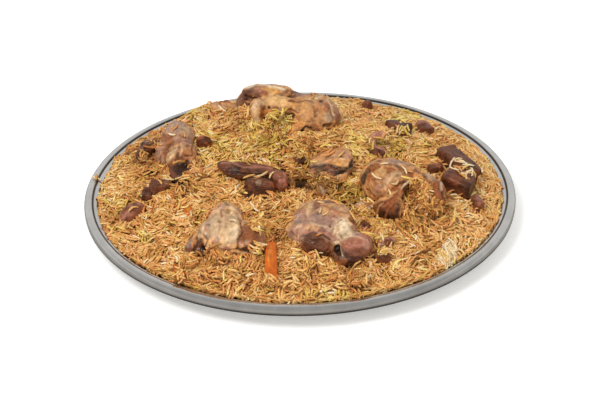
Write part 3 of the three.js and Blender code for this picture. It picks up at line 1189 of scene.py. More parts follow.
    def build(self, finish: Material) -> Object:
        """Makes the piece in place of its node.

        Args:
            finish: The material of its slot.

        Returns:
            The piece.
        """
        piece = self._body()
        mesh = piece.data
        points = points_of(mesh)
        towards = unit(VIEW.eye() - points)
        facing = step_between(-0.05, 0.3, (normals_of(mesh) * towards).sum(axis=1))
        colour, stringy = self._tissues(points, facing)
        moved = points + normals_of(mesh) * self._relief(points, facing, stringy)[:, None]
        set_points(mesh, under_ceiling(moved))
        self._paint(mesh, colour, stringy)
        mesh.shade_smooth()
        mesh.materials.append(finish)
        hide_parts(self.node)
        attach(piece, "root")
        LOG.info("%s: %d faces", piece.name, len(mesh.polygons))
        return piece


def patches(*rows: tuple) -> tuple[Dab, ...]:
    """Makes patches of tissue, told by points of the picture.

    Args: rows: For each its middle's x and y, half its width and height, and its tissue, then its rise,
    strength and turn as far as they differ from the usual.

    Returns:
        The patches.
    """
    made = []
    for x, y, wide, high, tissue, *rest in rows:
        rise, strength, turn = (*rest, *(0, 1, 0)[len(rest) :])
        made.append(Dab(Spot((x, y), (wide, high), turn), tissue, rise, strength))
    return tuple(made)


def folds(*rows: tuple) -> tuple[Seam, ...]:
    """Makes seams, told by points of the picture.

    Args:
        rows: For each its width, tissue, rise and strength, then the points that it runs through.

    Returns:
        The seams.
    """
    return tuple(Seam(row[4:], *row[:4]) for row in rows)


def top_joint() -> Meat:
    """The big browned joint at the back: crest, marrow, flap, brow, hollow and the reddish mass on the right.

    Returns:
        What dresses it.
    """
    return Meat(
        'top_joint', 'roast_meat', (BROWNED, TAN, LIVER), strand=(0.3, 0.2, 0.9), soften=20, tears=0.7,
        dabs=patches(
            (256, 126, 8, 20, HONEY, 0.2, 0.6, -3), (259, 103, 8, 6, GREY, -1.2, 0.6, 10),
            (276, 101, 15, 7, HONEY, 0.6, 0.8, -8), (272, 90, 11, 4, AMBER, 0, 0.9, -14),
            (248, 87, 9, 2.6, CREST, 0.5, 0.9, 14), (252, 94, 14, 6, LEAN, -1.2, 0.9, 4),
            (259, 90, 6, 3, PINK, 0, 0.6, 4), (242, 99, 6, 8, LEAN, 0.4, 0.9, -12),
            (246, 106, 6, 4, BLACK, -1.4, 0.85, 20), (240, 111, 3, 3, BLACK, -1, 0.8),
            (265, 93, 4, 3, RED, 0, 0.8), (264, 114, 4, 9, RUST, -1.2, 0.9, -6),
            (267, 120, 3, 3.5, BLACK, -1.2, 0.8), (269, 107.5, 1.8, 1.8, BLACK, -1.5),
            (270, 112, 8, 3.5, ORANGE, 0.7, 0.8, -8), (281, 113, 4, 4, MAUVE, 0.6, 0.8),
            (281, 126, 12, 13, OLIVE, -1, 0.95, -12), (282, 118, 3.4, 2.4, BLACK, -1.4, 0.9),
            (292, 116, 3.6, 3.4, BLACK, -1.4, 0.9), (277, 124, 2.4, 3.4, BLACK, -1, 0.85, -20),
            (280, 130, 2, 2.6, BLACK, -1, 0.85), (287, 126, 4, 2.5, DARK, -1, 0.8),
            (286, 133, 10, 4.5, ORANGE, 0.8, 0.8, 24), (295, 136, 6, 5, PINK, 0.6, 0.6, 30),
            (297, 120, 5, 9, ORANGE, 0.4, 0.6, 10), (300, 105, 11, 4, AMBER, 0.4, 0.6, -4),
            (303, 95, 7, 2.4, MAUVE, 0.4, 0.7), (311, 91.5, 5, 2.4, BLACK, 0.8, 0.95),
            (312, 108, 22, 12, TAN, 0, 0.5, 10), (321, 106, 9, 8, RED, 0.4, 0.4, 20),
            (327, 109, 4, 4, LIVER, 0, 0.6), (321, 101.5, 2.4, 1.6, DARK, -0.8, 0.9),
            (315, 98, 6, 2.6, CREAM, 0.4, 0.7, 10), (314, 117, 12, 7, RUST, 0.5, 0.3, 14),
            (328, 118, 6, 5, GREY, 0.5, 0.7), (327, 125, 5, 2.5, DARK, -1, 0.75, 20),
            (307, 133, 6, 5, TAN, 0.5, 0.7), (336, 121, 2.4, 4, RUST, 0, 0.9, -10),
            (326, 135, 2.6, 3.4, DARK, -1, 0.9, -30), (248, 134, 3, 6, RUST, -0.8, 0.8),
            (258, 143, 2.6, 2.6, BLACK, -1, 0.9),
        ),
        seams=folds(
            (1.1, CREST, 0.6, 0.7, (241, 88), (250, 85.5), (260, 84.5), (270, 86), (284, 90.5)),
            (1.2, RUST, -0.3, 0.35, (250, 101), (249, 112), (249, 126), (252, 140)),
            (1.4, RUST, -0.8, 0.8, (264, 107), (263, 116), (267, 122)),
            (1.1, BLACK, -1, 0.75, (270, 115), (278, 116), (284, 119)),
            (1.1, RUST, -0.5, 0.7, (285, 110), (292, 110), (298, 113)),
            (1.1, RUST, -0.7, 0.8, (289, 100.5), (300, 101.5), (312, 101)),
            (1.1, CREAM, 0.7, 0.75, (327, 100), (331, 107), (333, 115)),
            (1.3, BLACK, -1.8, 1, (298, 136), (302, 131), (305.5, 126.5), (311, 127.5)),
            (1.2, HONEY, 0.6, 0.5, (270, 130), (278, 137), (286, 129), (291, 122)),
            (2.4, CREAM, 0.3, 0.5, (254, 104), (256, 118), (255, 134)),
            (1.3, RUST, -0.3, 0.4, (261, 106), (262, 118), (261, 132), (262, 142)),
        ),
    )


def flank_slab() -> Meat:
    """The browned slab right of the middle, with lean meat and painted shade along its underside.

    Returns:
        What dresses it.
    """
    return Meat(
        'flank_slab', 'roast_meat', (BROWNED, TAN, PINK), strand=(1, 0.1, 0),
        dabs=patches(
            (316, 153, 9, 4.5, RUST, 0, 0.7, -8), (330, 158, 13, 6, BROWNED, 0.5, 0.6, 8),
            (342, 157, 10, 6, MAUVE, 0.3, 0.6, 20), (338, 164, 10, 4, AMBER, 0.4, 0.55, 16),
            (318, 165, 8, 4, GREY, 0, 0.55), (321, 169, 8, 4, DARK, -0.6, 0.85, 12),
            (332, 170, 9, 5.5, LEAN, 0.5, 0.95, 18), (341, 172, 8, 3, BLACK, -0.8, 0.9, 22),
            (315, 177, 9, 4, DARK, -0.8, 0.9, 10), (328, 181, 12, 3, RUST, 0, 0.85, 8),
            (352, 163, 2.6, 6, BLACK, -0.8, 0.95, -14), (327, 176, 4, 2, PINK, 0.3, 0.5, 20),
        ),
        seams=folds(
            (1.2, BLACK, -1, 0.8, (309, 168), (318, 166), (328, 165), (338, 169), (347, 168), (352, 162)),
            (1.3, BLACK, -1, 0.85, (318, 176), (330, 177), (341, 173), (351, 167)),
            (1.0, CREAM, 0.4, 0.4, (326, 160), (334, 157), (345, 160)),
        ),
    )


def left_shank() -> Meat:
    """The shank at the left: mauve skin on top, tan below, and its dark cut end in a sleeve of skin.

    Returns:
        What dresses it.
    """
    return Meat(
        'left_shank', 'boiled_meat', (MAUVE, BROWNED, RUST), strand=(0.1, 1, 0.2), soften=24,
        dabs=patches(
            (180, 174, 15, 15, LEAN, -0.2, 1, -8), (170, 148, 8, 14, RUST, 0, 0.4, 10),
            (174, 127, 11, 6, VIOLET, 0.4, 0.75, 16), (186, 131, 8, 6, GREY, 0.5, 0.7, -20),
            (192, 134, 4, 5, MAUVE, 0.2, 0.7), (192, 128, 5, 4, BROWNED, 0.2, 0.6, -30),
            (171, 133, 4, 4, MAUVE, 0, 0.8), (167, 138, 6, 4, RUST, -0.4, 0.7, 30),
            (185, 143, 10, 5, RED, 0.2, 0.45, 14), (172, 146, 6, 6, RUST, 0, 0.6, 20),
            (173, 153, 5, 11, HONEY, 0.6, 0.7, -32), (185, 150, 6, 5, BROWNED, 0.3, 0.6),
            (184, 158.5, 9, 2.8, RUST, 0.7, 0.8, 8), (181, 172, 11, 13, DARK, -0.8, 1, -8),
            (177, 180, 11, 7, DARK, 0, 0.9, -8), (183, 168, 7, 5.5, BLACK, -1.4, 0.4),
            (170, 175, 6, 4, LIVER, 0, 0.6, -10), (192, 152, 2.4, 12, BROWNED, 0.4, 0.7, 4),
            (155, 169, 3.5, 6, BLACK, -1.5, 0.95, -24), (164, 170, 3, 2, DARK, -1, 0.8),
            (164, 156, 5, 4, RUST, 0, 0.5), (182, 150, 13, 7, RUST, 0, 0.35, 8),
        ),
        seams=folds(
            (1.0, RUST, -0.8, 0.85, (173, 166), (175, 161), (179, 157), (186, 155), (191, 156)),
            (1.1, RUST, -0.9, 0.9, (195, 137), (193, 143), (191, 150), (191, 156)),
            (0.9, AMBER, 0.6, 0.7, (174, 163), (177, 161.5), (186, 161)),
            (0.9, RED, -0.4, 0.6, (169, 147), (175, 145), (180, 142)),
            (0.8, CREAM, 0.3, 0.6, (181, 144), (182, 150), (180, 156)),
            (1.3, CREAM, 0.3, 0.5, (177, 149), (172, 157), (168, 164)),
            (1.0, RUST, -0.3, 0.4, (183, 122), (188, 125), (194, 132)),
        ),
    )


def front_left_joint() -> Meat:
    """The joint at the front left under a pale skin, with dark fibres below and browned meat at its right.

    Returns:
        What dresses it.
    """
    return Meat(
        'front_left_joint', 'fatty_meat', (TAN, PALE, PINK), strand=(0.4, 1, 0.1), threads=0.2, soften=40,
        dabs=patches(
            (194, 249, 10, 16, LEAN, 0, 1, 30), (252, 238, 15, 15, LIVER, 0, 0.9),
            (226, 226, 18, 22, PALE, 0, 0.7, 8), (230, 234, 9, 10, CREAM, 0.3, 0.45, 20),
            (213, 226, 7, 14, GREY, 0, 0.65, 10), (233, 211, 9, 5, TAN, 0, 0.8),
            (241, 211, 7, 3, VIOLET, 0, 0.9, -8), (208, 224, 3, 9, VIOLET, 0, 0.6, 12),
            (197, 228, 8, 7, GREY, 0, 0.5, 30), (225, 200, 5, 4.5, LEAN, 0.5, 0.9, 30),
            (222, 204, 3, 2, TAN, 0, 0.8), (221, 215, 1.6, 5, RED, -0.5, 0.75, 6),
            (219, 222, 2.4, 1.6, RUST, -0.3, 0.5), (206, 236, 5, 3, VIOLET, 0, 0.7, -40),
            (190, 243, 6, 5, VIOLET, -0.4, 0.8, 30), (199, 246, 6, 8, LEAN, -1, 0.95, 10),
            (203, 249, 3.5, 3.5, BLACK, -1.6, 0.95), (196, 255, 4, 9, DARK, -1, 0.85, 34),
            (185, 238, 2.4, 4, DARK, -1, 0.9, 20), (194, 242, 1.8, 7, ORANGE, 0.5, 0.7, -16),
            (247, 229, 5, 8, RUST, -0.4, 0.75, 10), (250, 237, 11, 9, RUST, -0.4, 0.85, 6),
            (256, 236, 6, 4, LEAN, 0, 0.7), (247, 241, 4, 3, GREY, 0, 0.5),
            (246, 249, 9, 3, DARK, -1, 0.95, -10), (255, 247, 6, 6, DARK, -0.8, 0.8),
            (224, 255, 9, 3.4, ORANGE, 0.6, 0.8, 4), (235, 256, 5, 3, DARK, -1, 0.9, 20),
            (224, 260, 12, 2.6, DARK, -1.2, 0.8, 0), (266, 209, 8, 3, LIVER, 0, 0.9, -10),
            (251, 235, 12, 11, LIVER, 0, 0.3), (272, 214, 8, 3.5, VIOLET, 0.3, 0.8, -24),
            (267, 212, 2.4, 2, DARK, -0.6, 0.8), (257, 213, 6, 4, TAN, 0, 0.7),
        ),
        seams=folds(
            (1.8, GREY, -0.5, 0.35, (224, 205), (221, 219), (218, 236), (219, 247)),
            (2.2, CREST, 0.3, 0.35, (231, 208), (236, 222), (235, 238)),
            (1.8, PINK, -0.3, 0.5, (238, 214), (241, 222), (240, 232)),
            (1.5, CREAM, 0.4, 0.5, (205, 216), (203, 226), (205, 234)),
            (0.9, LEAN, -0.6, 0.7, (218, 206), (223, 202), (229, 206)),
            (1.1, RUST, -1, 0.8, (240, 221), (243, 232), (238, 240), (237, 249)),
            (1.0, RUST, -0.8, 0.6, (237, 249), (228, 251), (218, 249), (213, 243)),
            (1.0, LEAN, -0.6, 0.7, (204, 235), (208, 240), (206, 246)),
            (0.9, LIVER, 0.5, 0.7, (187, 240), (192, 250), (199, 262)),
            (0.8, RUST, -0.4, 0.7, (246, 207), (252, 211), (258, 209)),
        ),
    )


def front_centre_joint() -> Meat:
    """The joint at the front under a mauve skin, with a patch of fat and round muscles below.

    Returns:
        What dresses it.
    """
    return Meat(
        'front_centre_joint', 'boiled_meat', (MAUVE, PINK, TAN), strand=(0.9, 0.5, 0.1), soften=24,
        dabs=patches(
            (318, 249, 21, 17, LEAN, 0, 1, -8), (356, 252, 24, 15, LIVER, 0, 1),
            (344, 262, 12, 14, LEAN, 0, 0.9, 4), (360, 262, 16, 5, LEAN, 0, 0.8, 4),
            (322, 222, 16, 9, VIOLET, 0.4, 0.65, -8), (298, 219, 6, 11, VIOLET, 0, 0.6, 20),
            (309, 211, 2.6, 9, PALE, 0.4, 0.75, -6), (317, 204, 5, 4, LIVER, -0.4, 0.8, 20),
            (328, 202, 8, 3, LEAN, -0.5, 0.75, -10), (325, 212, 8, 3, TAN, 0.3, 0.5, -20),
            (336, 218, 5, 4, PINK, 0.2, 0.5), (299, 226, 4, 3, PALE, 0.2, 0.5),
            (314, 228, 9, 3, TAN, 0.3, 0.6, 4), (331, 231, 4, 2.4, GREY, 0.2, 0.7, -20),
            (310, 241, 9, 7, DARK, 0.5, 0.6, -8), (320, 253, 15, 3.4, BLACK, -0.4, 0.7, -16),
            (343, 230, 10, 15, CREAM, 0.4, 0.8, 28), (345, 227, 6, 9, CREST, 0.3, 0.5, 34),
            (337, 243, 4, 3.4, CREAM, 0.6, 0.9), (356, 234, 4, 3, VIOLET, 0, 0.8, -20),
            (358, 243, 15, 7.5, PINK, 0.8, 1, 2), (354, 260, 16, 5, DARK, -0.4, 0.85, -4),
            (354, 242, 8, 4, LIVER, 0, 0.6), (366, 245, 4, 3.4, MAUVE, 0.3, 0.5),
            (338, 250, 4, 6, BLACK, -1.6, 0.95, 8), (344, 256, 7, 6, DARK, -0.6, 0.8, -6),
            (342, 261, 6, 3.4, RUST, 0, 0.6, 6), (350, 265, 6, 3, BLACK, -0.6, 0.7, 20),
            (353, 220, 5, 3, RUST, -0.8, 0.8, -40), (357, 221, 3, 5, DARK, -0.8, 0.7, 24),
            (320, 221, 20, 12, LIVER, 0, 0.2, -8),
        ),
        seams=folds(
            (0.9, PINK, 0.5, 0.5, (301, 234), (310, 230.5), (318, 231.5), (326, 234), (332, 239)),
            (0.9, BLACK, -1, 0.6, (303, 236), (312, 232.5), (322, 235), (330, 240)),
            (1.1, RUST, 0.6, 0.85, (322, 205), (330, 209), (338, 212), (347, 214)),
            (1.0, GREY, 0.3, 0.6, (331, 201), (335, 207), (340, 211)),
            (0.8, CREAM, 0.5, 0.6, (341, 244), (341, 250), (343, 256)),
            (0.8, CREAM, 0.4, 0.5, (343, 239), (351, 237), (360, 239), (366, 241)),
            (0.9, CREAM, 0.3, 0.45, (310, 224), (320, 226), (332, 229)),
            (0.9, VIOLET, -0.3, 0.6, (341, 220), (334, 226), (331, 236)),
        ),
    )


def right_joint() -> Meat:
    """The joint at the right: mauve skin over a tan dome, dark ribs, a hollow and a reddish right part.

    Returns:
        What dresses it.
    """
    return Meat(
        'right_joint', 'roast_meat', (BROWNED, TAN, RUST), strand=(-0.3, 0.5, 0.8), soften=16,
        dabs=patches(
            (392, 184, 26, 16, RUST, 0, 0.42, 10), (387, 212, 17, 14, LEAN, 0, 1, 14),
            (434, 198, 13, 21, RUST, 0, 1, 8), (410, 192, 12, 13, LEAN, 0, 0.9),
            (402, 162, 16, 4, VIOLET, 0.4, 0.75, 4), (386, 165, 10, 3, PINK, 0.3, 0.5, 10),
            (403, 167, 10, 2.6, RUST, 0, 0.4, 4), (415, 166, 8, 3, TAN, 0.3, 0.7, -16),
            (381, 173, 7, 5, HONEY, 0.4, 0.6, 24), (392, 178, 12, 6, GREY, 0.3, 0.55, 24),
            (418, 177, 6, 4, ORANGE, 0.7, 0.95, -10), (429, 174, 8, 4, CREAM, 0.4, 0.6, -24),
            (431, 178, 6, 4, GREY, 0.3, 0.6, -10), (364, 178, 3.4, 8, BLACK, -1, 0.9, -20),
            (368, 171, 3, 3, LEAN, -0.6, 0.7), (378, 191, 6, 6, MAUVE, 0.3, 0.65, 10),
            (387, 193, 6, 6, BROWNED, 0.2, 0.7, 30), (384, 203, 12, 5, RUST, 0, 0.8, -20),
            (375, 209, 6, 8, RUST, -0.4, 0.9, -6), (390, 206, 7, 7, RUST, 0, 0.6, 20),
            (391, 203, 5, 5, RED, 0.4, 0.5, 40), (388, 217, 11, 5, BLACK, -0.5, 0.9, -10),
            (398, 213, 4, 7, DARK, 0, 0.8), (409, 187, 9, 8, LEAN, -1, 0.85, 30),
            (405, 197, 4, 3.4, BLACK, -1.4, 0.9, 20), (414, 190, 4, 3, RED, 0, 0.6),
            (425, 188, 5, 6, BROWNED, 0.2, 0.5), (429, 184, 2, 1.6, DARK, -0.8, 0.9),
            (439, 190, 5, 10, RED, 0.3, 0.8, 10), (438, 203, 6, 7, RUST, 0, 0.85, 8),
            (434, 213, 4, 5, LEAN, -0.4, 0.8), (432, 196, 14, 20, LEAN, 0, 0.3, 8),
            (384, 184, 20, 14, RUST, 0, 0.25, 8), (386, 211, 14, 12, DARK, 0, 0.4, 10),
        ),
        seams=folds(
            (0.9, PALE, 0.3, 0.5, (380, 165), (392, 164), (404, 166)),
            (0.8, GREY, 0.4, 0.6, (410, 163), (418, 165), (423, 168)),
            (1.6, PALE, 0.4, 0.5, (386, 187), (390, 180), (396, 174), (403, 172)),
            (1.1, RUST, -1, 0.9, (389, 194), (394, 188), (399, 183), (404, 181)),
            (1.1, BROWNED, 0.7, 0.9, (376, 203), (382, 200), (389, 199), (397, 190)),
            (0.8, TAN, 0.6, 0.6, (377, 214), (379, 207), (384, 203)),
            (1.0, RED, 0.5, 0.7, (385, 219), (388, 210), (393, 203)),
            (1.8, LEAN, -1.2, 0.8, (424, 176), (428, 188), (429, 202), (432, 214)),
            (1.4, DARK, -0.9, 0.7, (437, 180), (442, 192), (442, 206)),
            (1.2, RED, 0.6, 0.8, (384, 206), (390, 203), (398, 196), (401, 190)),
            (0.9, TAN, 0.6, 0.8, (399, 224), (400, 212), (402, 204)),
            (1.0, CREAM, 0.5, 0.8, (402, 188), (406, 183), (412, 180)),
            (1.0, TAN, 0.4, 0.7, (415, 184), (420, 188), (423, 194)),
            (0.9, CREAM, 0.5, 0.8, (428, 194), (431, 200), (433, 206)),
            (1.0, CREAM, 0.4, 0.6, (426, 170), (436, 174), (440, 181), (441, 190)),
            (1.0, RUST, -0.6, 0.6, (367, 189), (372, 195), (378, 199)),
        ),
    )


def cut_pieces() -> list[Meat]:
    """The smaller cubes, blocks, shreds and bits.

    Returns:
        What dresses them.
    """
    block = {"voxel": 0.7, "cut": True, "lumps": 0.2, "threads": 0.4, "tears": 0.5, "coarse": 0.3, "patch": 7}
    crumb = {"voxel": 0.7, "cut": True, "lumps": 1.3, "threads": 0.7, "tears": 1.3, "patch": 6}
    lean = (LEAN, DARK, RED)
    dark = (DARK, LEAN, LEAN)
    soft = (LIVER, PINK, LEAN)
    pink = (PINK, MAUVE, LEAN)
    cube = (LEAN, DARK, LEAN)
    fillet_folds = folds(
        (1.2, PINK, 0.5, 0.8, (222, 164), (232, 163), (244, 168), (258, 167), (272, 169)),
        (1.1, DARK, -0.8, 0.7, (226, 172), (240, 173), (256, 175), (270, 176)),
    )
    block_marks = patches((258, 183, 4, 3, GREY, 0.2, 0.35), (264, 192, 11, 6, DARK, 0, 0.7, 10))
    rear_mark = patches((456, 156, 16, 8, LIVER, 0, 0.4, -30))
    front_mark = patches((460, 178, 13, 8, RED, 0, 0.2, 10))
    scroll = {**block, "voxel": 0.6}
    return [
        Meat("gristle_knob", "gristle", (GRISTLE, GREY, RUST), **crumb),
        Meat("left_fibrous_piece", "dark_meat", (LEAN, BROWNED, DARK), strand=(0.3, 1, 0.1), threads=1.1),
        Meat("left_dark_chunk", "dark_meat", (LEAN, LIVER), strand=(0.3, 0.2, 1), **block),
        Meat("left_dark_sliver", "dark_meat", dark, strand=(0, 0.3, 1), **crumb),
        Meat("left_liver_piece", "brown_meat", soft, **block),
        Meat("left_dark_cube", "dark_meat", lean, strand=(1, 0.3, 0), **block),
        Meat(
            "centre_fillet", "dark_meat", (LEAN, DARK, LIVER), strand=(1, 0.1, 0), seams=fillet_folds, **block
        ),
        Meat("centre_block", "dark_meat", lean, strand=(0.2, 1, 0.3), dabs=block_marks, **block),
        Meat("centre_pink_piece", "boiled_meat", (LIVER, LEAN, PINK), strand=(0, 0.3, 1), **block),
        Meat("centre_dark_bit", "dark_meat", dark, **crumb),
        Meat("front_rear_lump", "fatty_meat", (PALE, PINK, MAUVE), **crumb),
        Meat("front_dark_bit", "dark_meat", (LEAN, PINK), **crumb),
        Meat("right_rear_block", "dark_meat", cube, strand=(0.8, -0.6, 0), dabs=rear_mark, **block),
        Meat("right_front_block", "dark_meat", cube, strand=(0.7, -0.3, 0.6), dabs=front_mark, **block),
        Meat("right_meat_wedge", "dark_meat", lean, **crumb),
        Meat("right_small_piece", "brown_meat", soft, **crumb),
        Meat("back_cube_inner", "dark_meat", lean, **block),
        Meat("back_cube_middle", "dark_meat", dark, **block),
        Meat("back_cube_outer", "dark_meat", (LEAN, LIVER, PINK), **block),
        Meat("back_scroll", "boiled_meat", (PINK, BROWNED, MAUVE), strand=(0.2, 0.2, 1), **scroll),
        Meat("back_dark_bit", "dark_meat", dark, **crumb),
        Meat("back_left_lump", "roast_meat", (BROWNED, LEAN, RED), lumps=1.4, threads=0.7),
        Meat("back_right_crumb", "brown_meat", (LEAN, RED), **crumb),
        Meat("front_right_shred", "boiled_meat", pink, strand=(1, 0.2, 0), **crumb),
        Meat("front_right_bit", "brown_meat", (LEAN, LIVER), **crumb),
        Meat("front_low_shred", "boiled_meat", pink, strand=(0.4, 1, 0), **crumb),
    ]


# The carrot


@dataclass(frozen=True)
class Carrot:
    """A strip of cooked carrot, dressed from its CAD node, with its grain along its length."""

    node: str
    strand: tuple[float, float, float] = (0, 1, 0)
    voxel: float = 0.6
    ridges: float = 0.3

    def build(self, finish: Material) -> Object:
        """Makes the strip in place of its node.

        Args:
            finish: The carrot's material.

        Returns:
            The piece.
        """
        dressed = Meat(self.node, "carrot", (ORANGE,), strand=self.strand, voxel=self.voxel, cut=True)
        piece = dressed._body()
        mesh = piece.data
        points = points_of(mesh)
        grain = dressed._grain(points)
        relief = 0.2 + self.ridges * rough(grain, 2.5, 5, 2) + 0.25 * rough(points, 7, 9)
        set_points(mesh, points + normals_of(mesh) * relief[:, None])
        middle = points.mean(axis=0)
        across = np.linalg.norm((grain - dressed._grain(middle[None]))[:, :2], axis=1)
        store(mesh, "core", step_between(3.2, 0.6, across) * step_between(-0.3, 0.4, rough(grain, 3, 13)))
        store(mesh, "strand", grain)
        mesh.shade_smooth()
        mesh.materials.append(finish)
        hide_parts(self.node)
        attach(piece, "root")
        LOG.info("%s: %d faces", piece.name, len(mesh.polygons))
        return piece


# The rice


class Kind(Enum):
    """The kinds of grain, each a piece of its own."""

    AMBER = 0
    WHEAT = 1
    BLUSH = 2
    SAFFRON = 3
    PALE = 4


GRAIN_FINISHES = {
    Kind.AMBER: RiceFinish("rice_amber", "87542a", "c98b43", "ebb66c"),
    Kind.WHEAT: RiceFinish("rice_wheat", "8f6230", "d6a258", "f2cb8c"),
    Kind.BLUSH: RiceFinish("rice_blush", "884e26", "d18a4c", "efb87a"),
    Kind.SAFFRON: RiceFinish("rice_saffron", "946c26", "dab254", "f4da88"),
    Kind.PALE: RiceFinish("rice_pale", "ae8654", "e2c08e", "f8e2bc"),
}

COMMON = (0.31, 0.3, 0.31, 0.05, 0.03)
YELLOWED = (0.08, 0.22, 0.04, 0.6, 0.06)
WHITE = (0.0, 0.12, 0.0, 0.04, 0.84)
MIXED = (0.24, 0.37, 0.2, 0.13, 0.06)
TANNED = (0.2, 0.44, 0.22, 0.04, 0.1)


@dataclass(frozen=True)
class StainAndShading:
    """A patch of the heap with its own mix of grains, darker or paler than the rest by its tone, which paints
    shade where it is below 0 and light where it is above.
    """

    spot: Spot
    mix: tuple[float, ...]
    tone: float = 0


@dataclass(frozen=True)
class Pit:
    """A hole in the heap, where the picture shows it, and its depth: below 0 it is a mound."""

    spot: Spot
    depth: float


@dataclass(frozen=True)
class Drift:
    """Loose grains strewn on the meat or the heap, where the picture shows them, up to a height in the
    middle.

    Lie is the direction that they share in the picture, in degrees anticlockwise from its right, if they do.
    """

    spot: Spot
    count: int
    pile: float = 0.5
    mix: tuple[float, ...] = MIXED
    lie: float | None = None


# Tones below 0 are painted shade, where meat shades the rice and in deep crevices; tones above 0 are painted
# light
STAINS_AND_SHADING = tuple(
    StainAndShading(Spot((x, y), (wide, high), turn), mix, tone)
    for x, y, wide, high, turn, mix, tone in (
        (199, 118, 16, 12, 0, YELLOWED, 0), (228, 156, 32, 13, 0, YELLOWED, 0),
        (354, 145, 12, 18, 0, YELLOWED, 0), (400, 146, 32, 9, 0, YELLOWED, 0),
        (405, 118, 26, 6, 0, YELLOWED, 0), (345, 190, 14, 16, 0, YELLOWED, 0),
        (120, 200, 12, 10, 0, YELLOWED, 0), (146, 238, 14, 7, 0, YELLOWED, 0),
        (330, 296, 28, 7, 0, YELLOWED, 0), (396, 284, 12, 7, 0, YELLOWED, 0),
        (282, 128, 14, 16, 0, YELLOWED, 0), (468, 178, 30, 40, -20, COMMON, 0.16),
        (425, 128, 36, 12, 24, MIXED, 0.12), (462, 232, 20, 20, 0, COMMON, 0.17),
        (110, 178, 20, 26, 20, MIXED, 0.1), (336, 115, 10, 14, 0, MIXED, 0.1),
        (380, 262, 30, 22, 0, COMMON, 0.06), (286, 158, 62, 34, 0, MIXED, -0.2),
        (306, 180, 34, 15, 0, COMMON, -0.3), (270, 150, 30, 11, 0, YELLOWED, -0.16),
        (322, 142, 24, 10, 0, COMMON, -0.12), (352, 196, 20, 15, 0, YELLOWED, -0.4),
        (282, 228, 18, 24, 0, COMMON, -0.36), (206, 182, 24, 14, 0, COMMON, -0.2),
        (148, 158, 20, 24, 0, COMMON, -0.34), (180, 190, 20, 9, 0, COMMON, -0.22),
        (384, 148, 26, 12, 0, YELLOWED, -0.16), (434, 214, 22, 16, 0, COMMON, -0.24),
        (346, 264, 20, 12, 0, COMMON, -0.3), (204, 254, 18, 16, 0, COMMON, -0.3),
        (238, 262, 26, 9, 0, COMMON, -0.22), (410, 200, 18, 24, 0, COMMON, -0.28),
        (312, 192, 30, 9, 0, COMMON, -0.2), (455, 262, 30, 26, 0, COMMON, 0.1),
        (400, 285, 30, 10, 0, COMMON, 0.1), (214, 142, 22, 10, 0, YELLOWED, -0.1),
        (234, 126, 14, 16, 0, COMMON, -0.16), (334, 276, 30, 10, 0, COMMON, -0.24),
        (206, 284, 34, 10, 0, COMMON, -0.16), (412, 230, 20, 9, 0, COMMON, -0.28),
        (449, 194, 11, 10, 0, COMMON, -0.3), (488, 228, 22, 42, 0, COMMON, 0.19),
        (447, 255, 8, 15, -20, WHITE, 0),
    )
)

PITS = tuple(
    Pit(Spot((x, y), (wide, high), turn), depth)
    for x, y, wide, high, turn, depth in (
        (206, 181, 6, 5, -30, 9), (156, 169, 4, 6, -30, 6), (235, 135, 4, 3, 0, 5), (243, 143, 3, 3, 0, 4),
        (345, 133, 3, 2, 0, 4), (195, 167, 3, 3, 0, 4), (276, 163, 4, 3, 0, 4), (340, 252, 4, 5, 0, 5),
        (272, 144, 20, 8, 0, -7), (316, 146, 20, 7, 0, -5), (414, 210, 13, 11, 0, -6),
        (264, 234, 13, 8, 0, -4), (290, 252, 15, 9, 0, -5), (378, 233, 15, 7, 0, -4),
        (178, 182, 9, 5, 0, 5), (146, 148, 7, 10, 0, 3), (306, 186, 9, 6, 0, 4), (338, 186, 9, 6, 0, 3),
        (344, 262, 10, 6, 0, 3), (440, 222, 22, 9, 0, -3), (246, 262, 16, 6, 0, -4),
        (234, 192, 14, 8, 0, -3), (300, 181, 9, 8, 0, 5), (283, 169, 6, 6, 0, 5), (291, 245, 7, 8, 0, 4),
        (377, 154, 9, 4, 0, 4), (400, 151, 5, 3, 0, 3),
    )
)

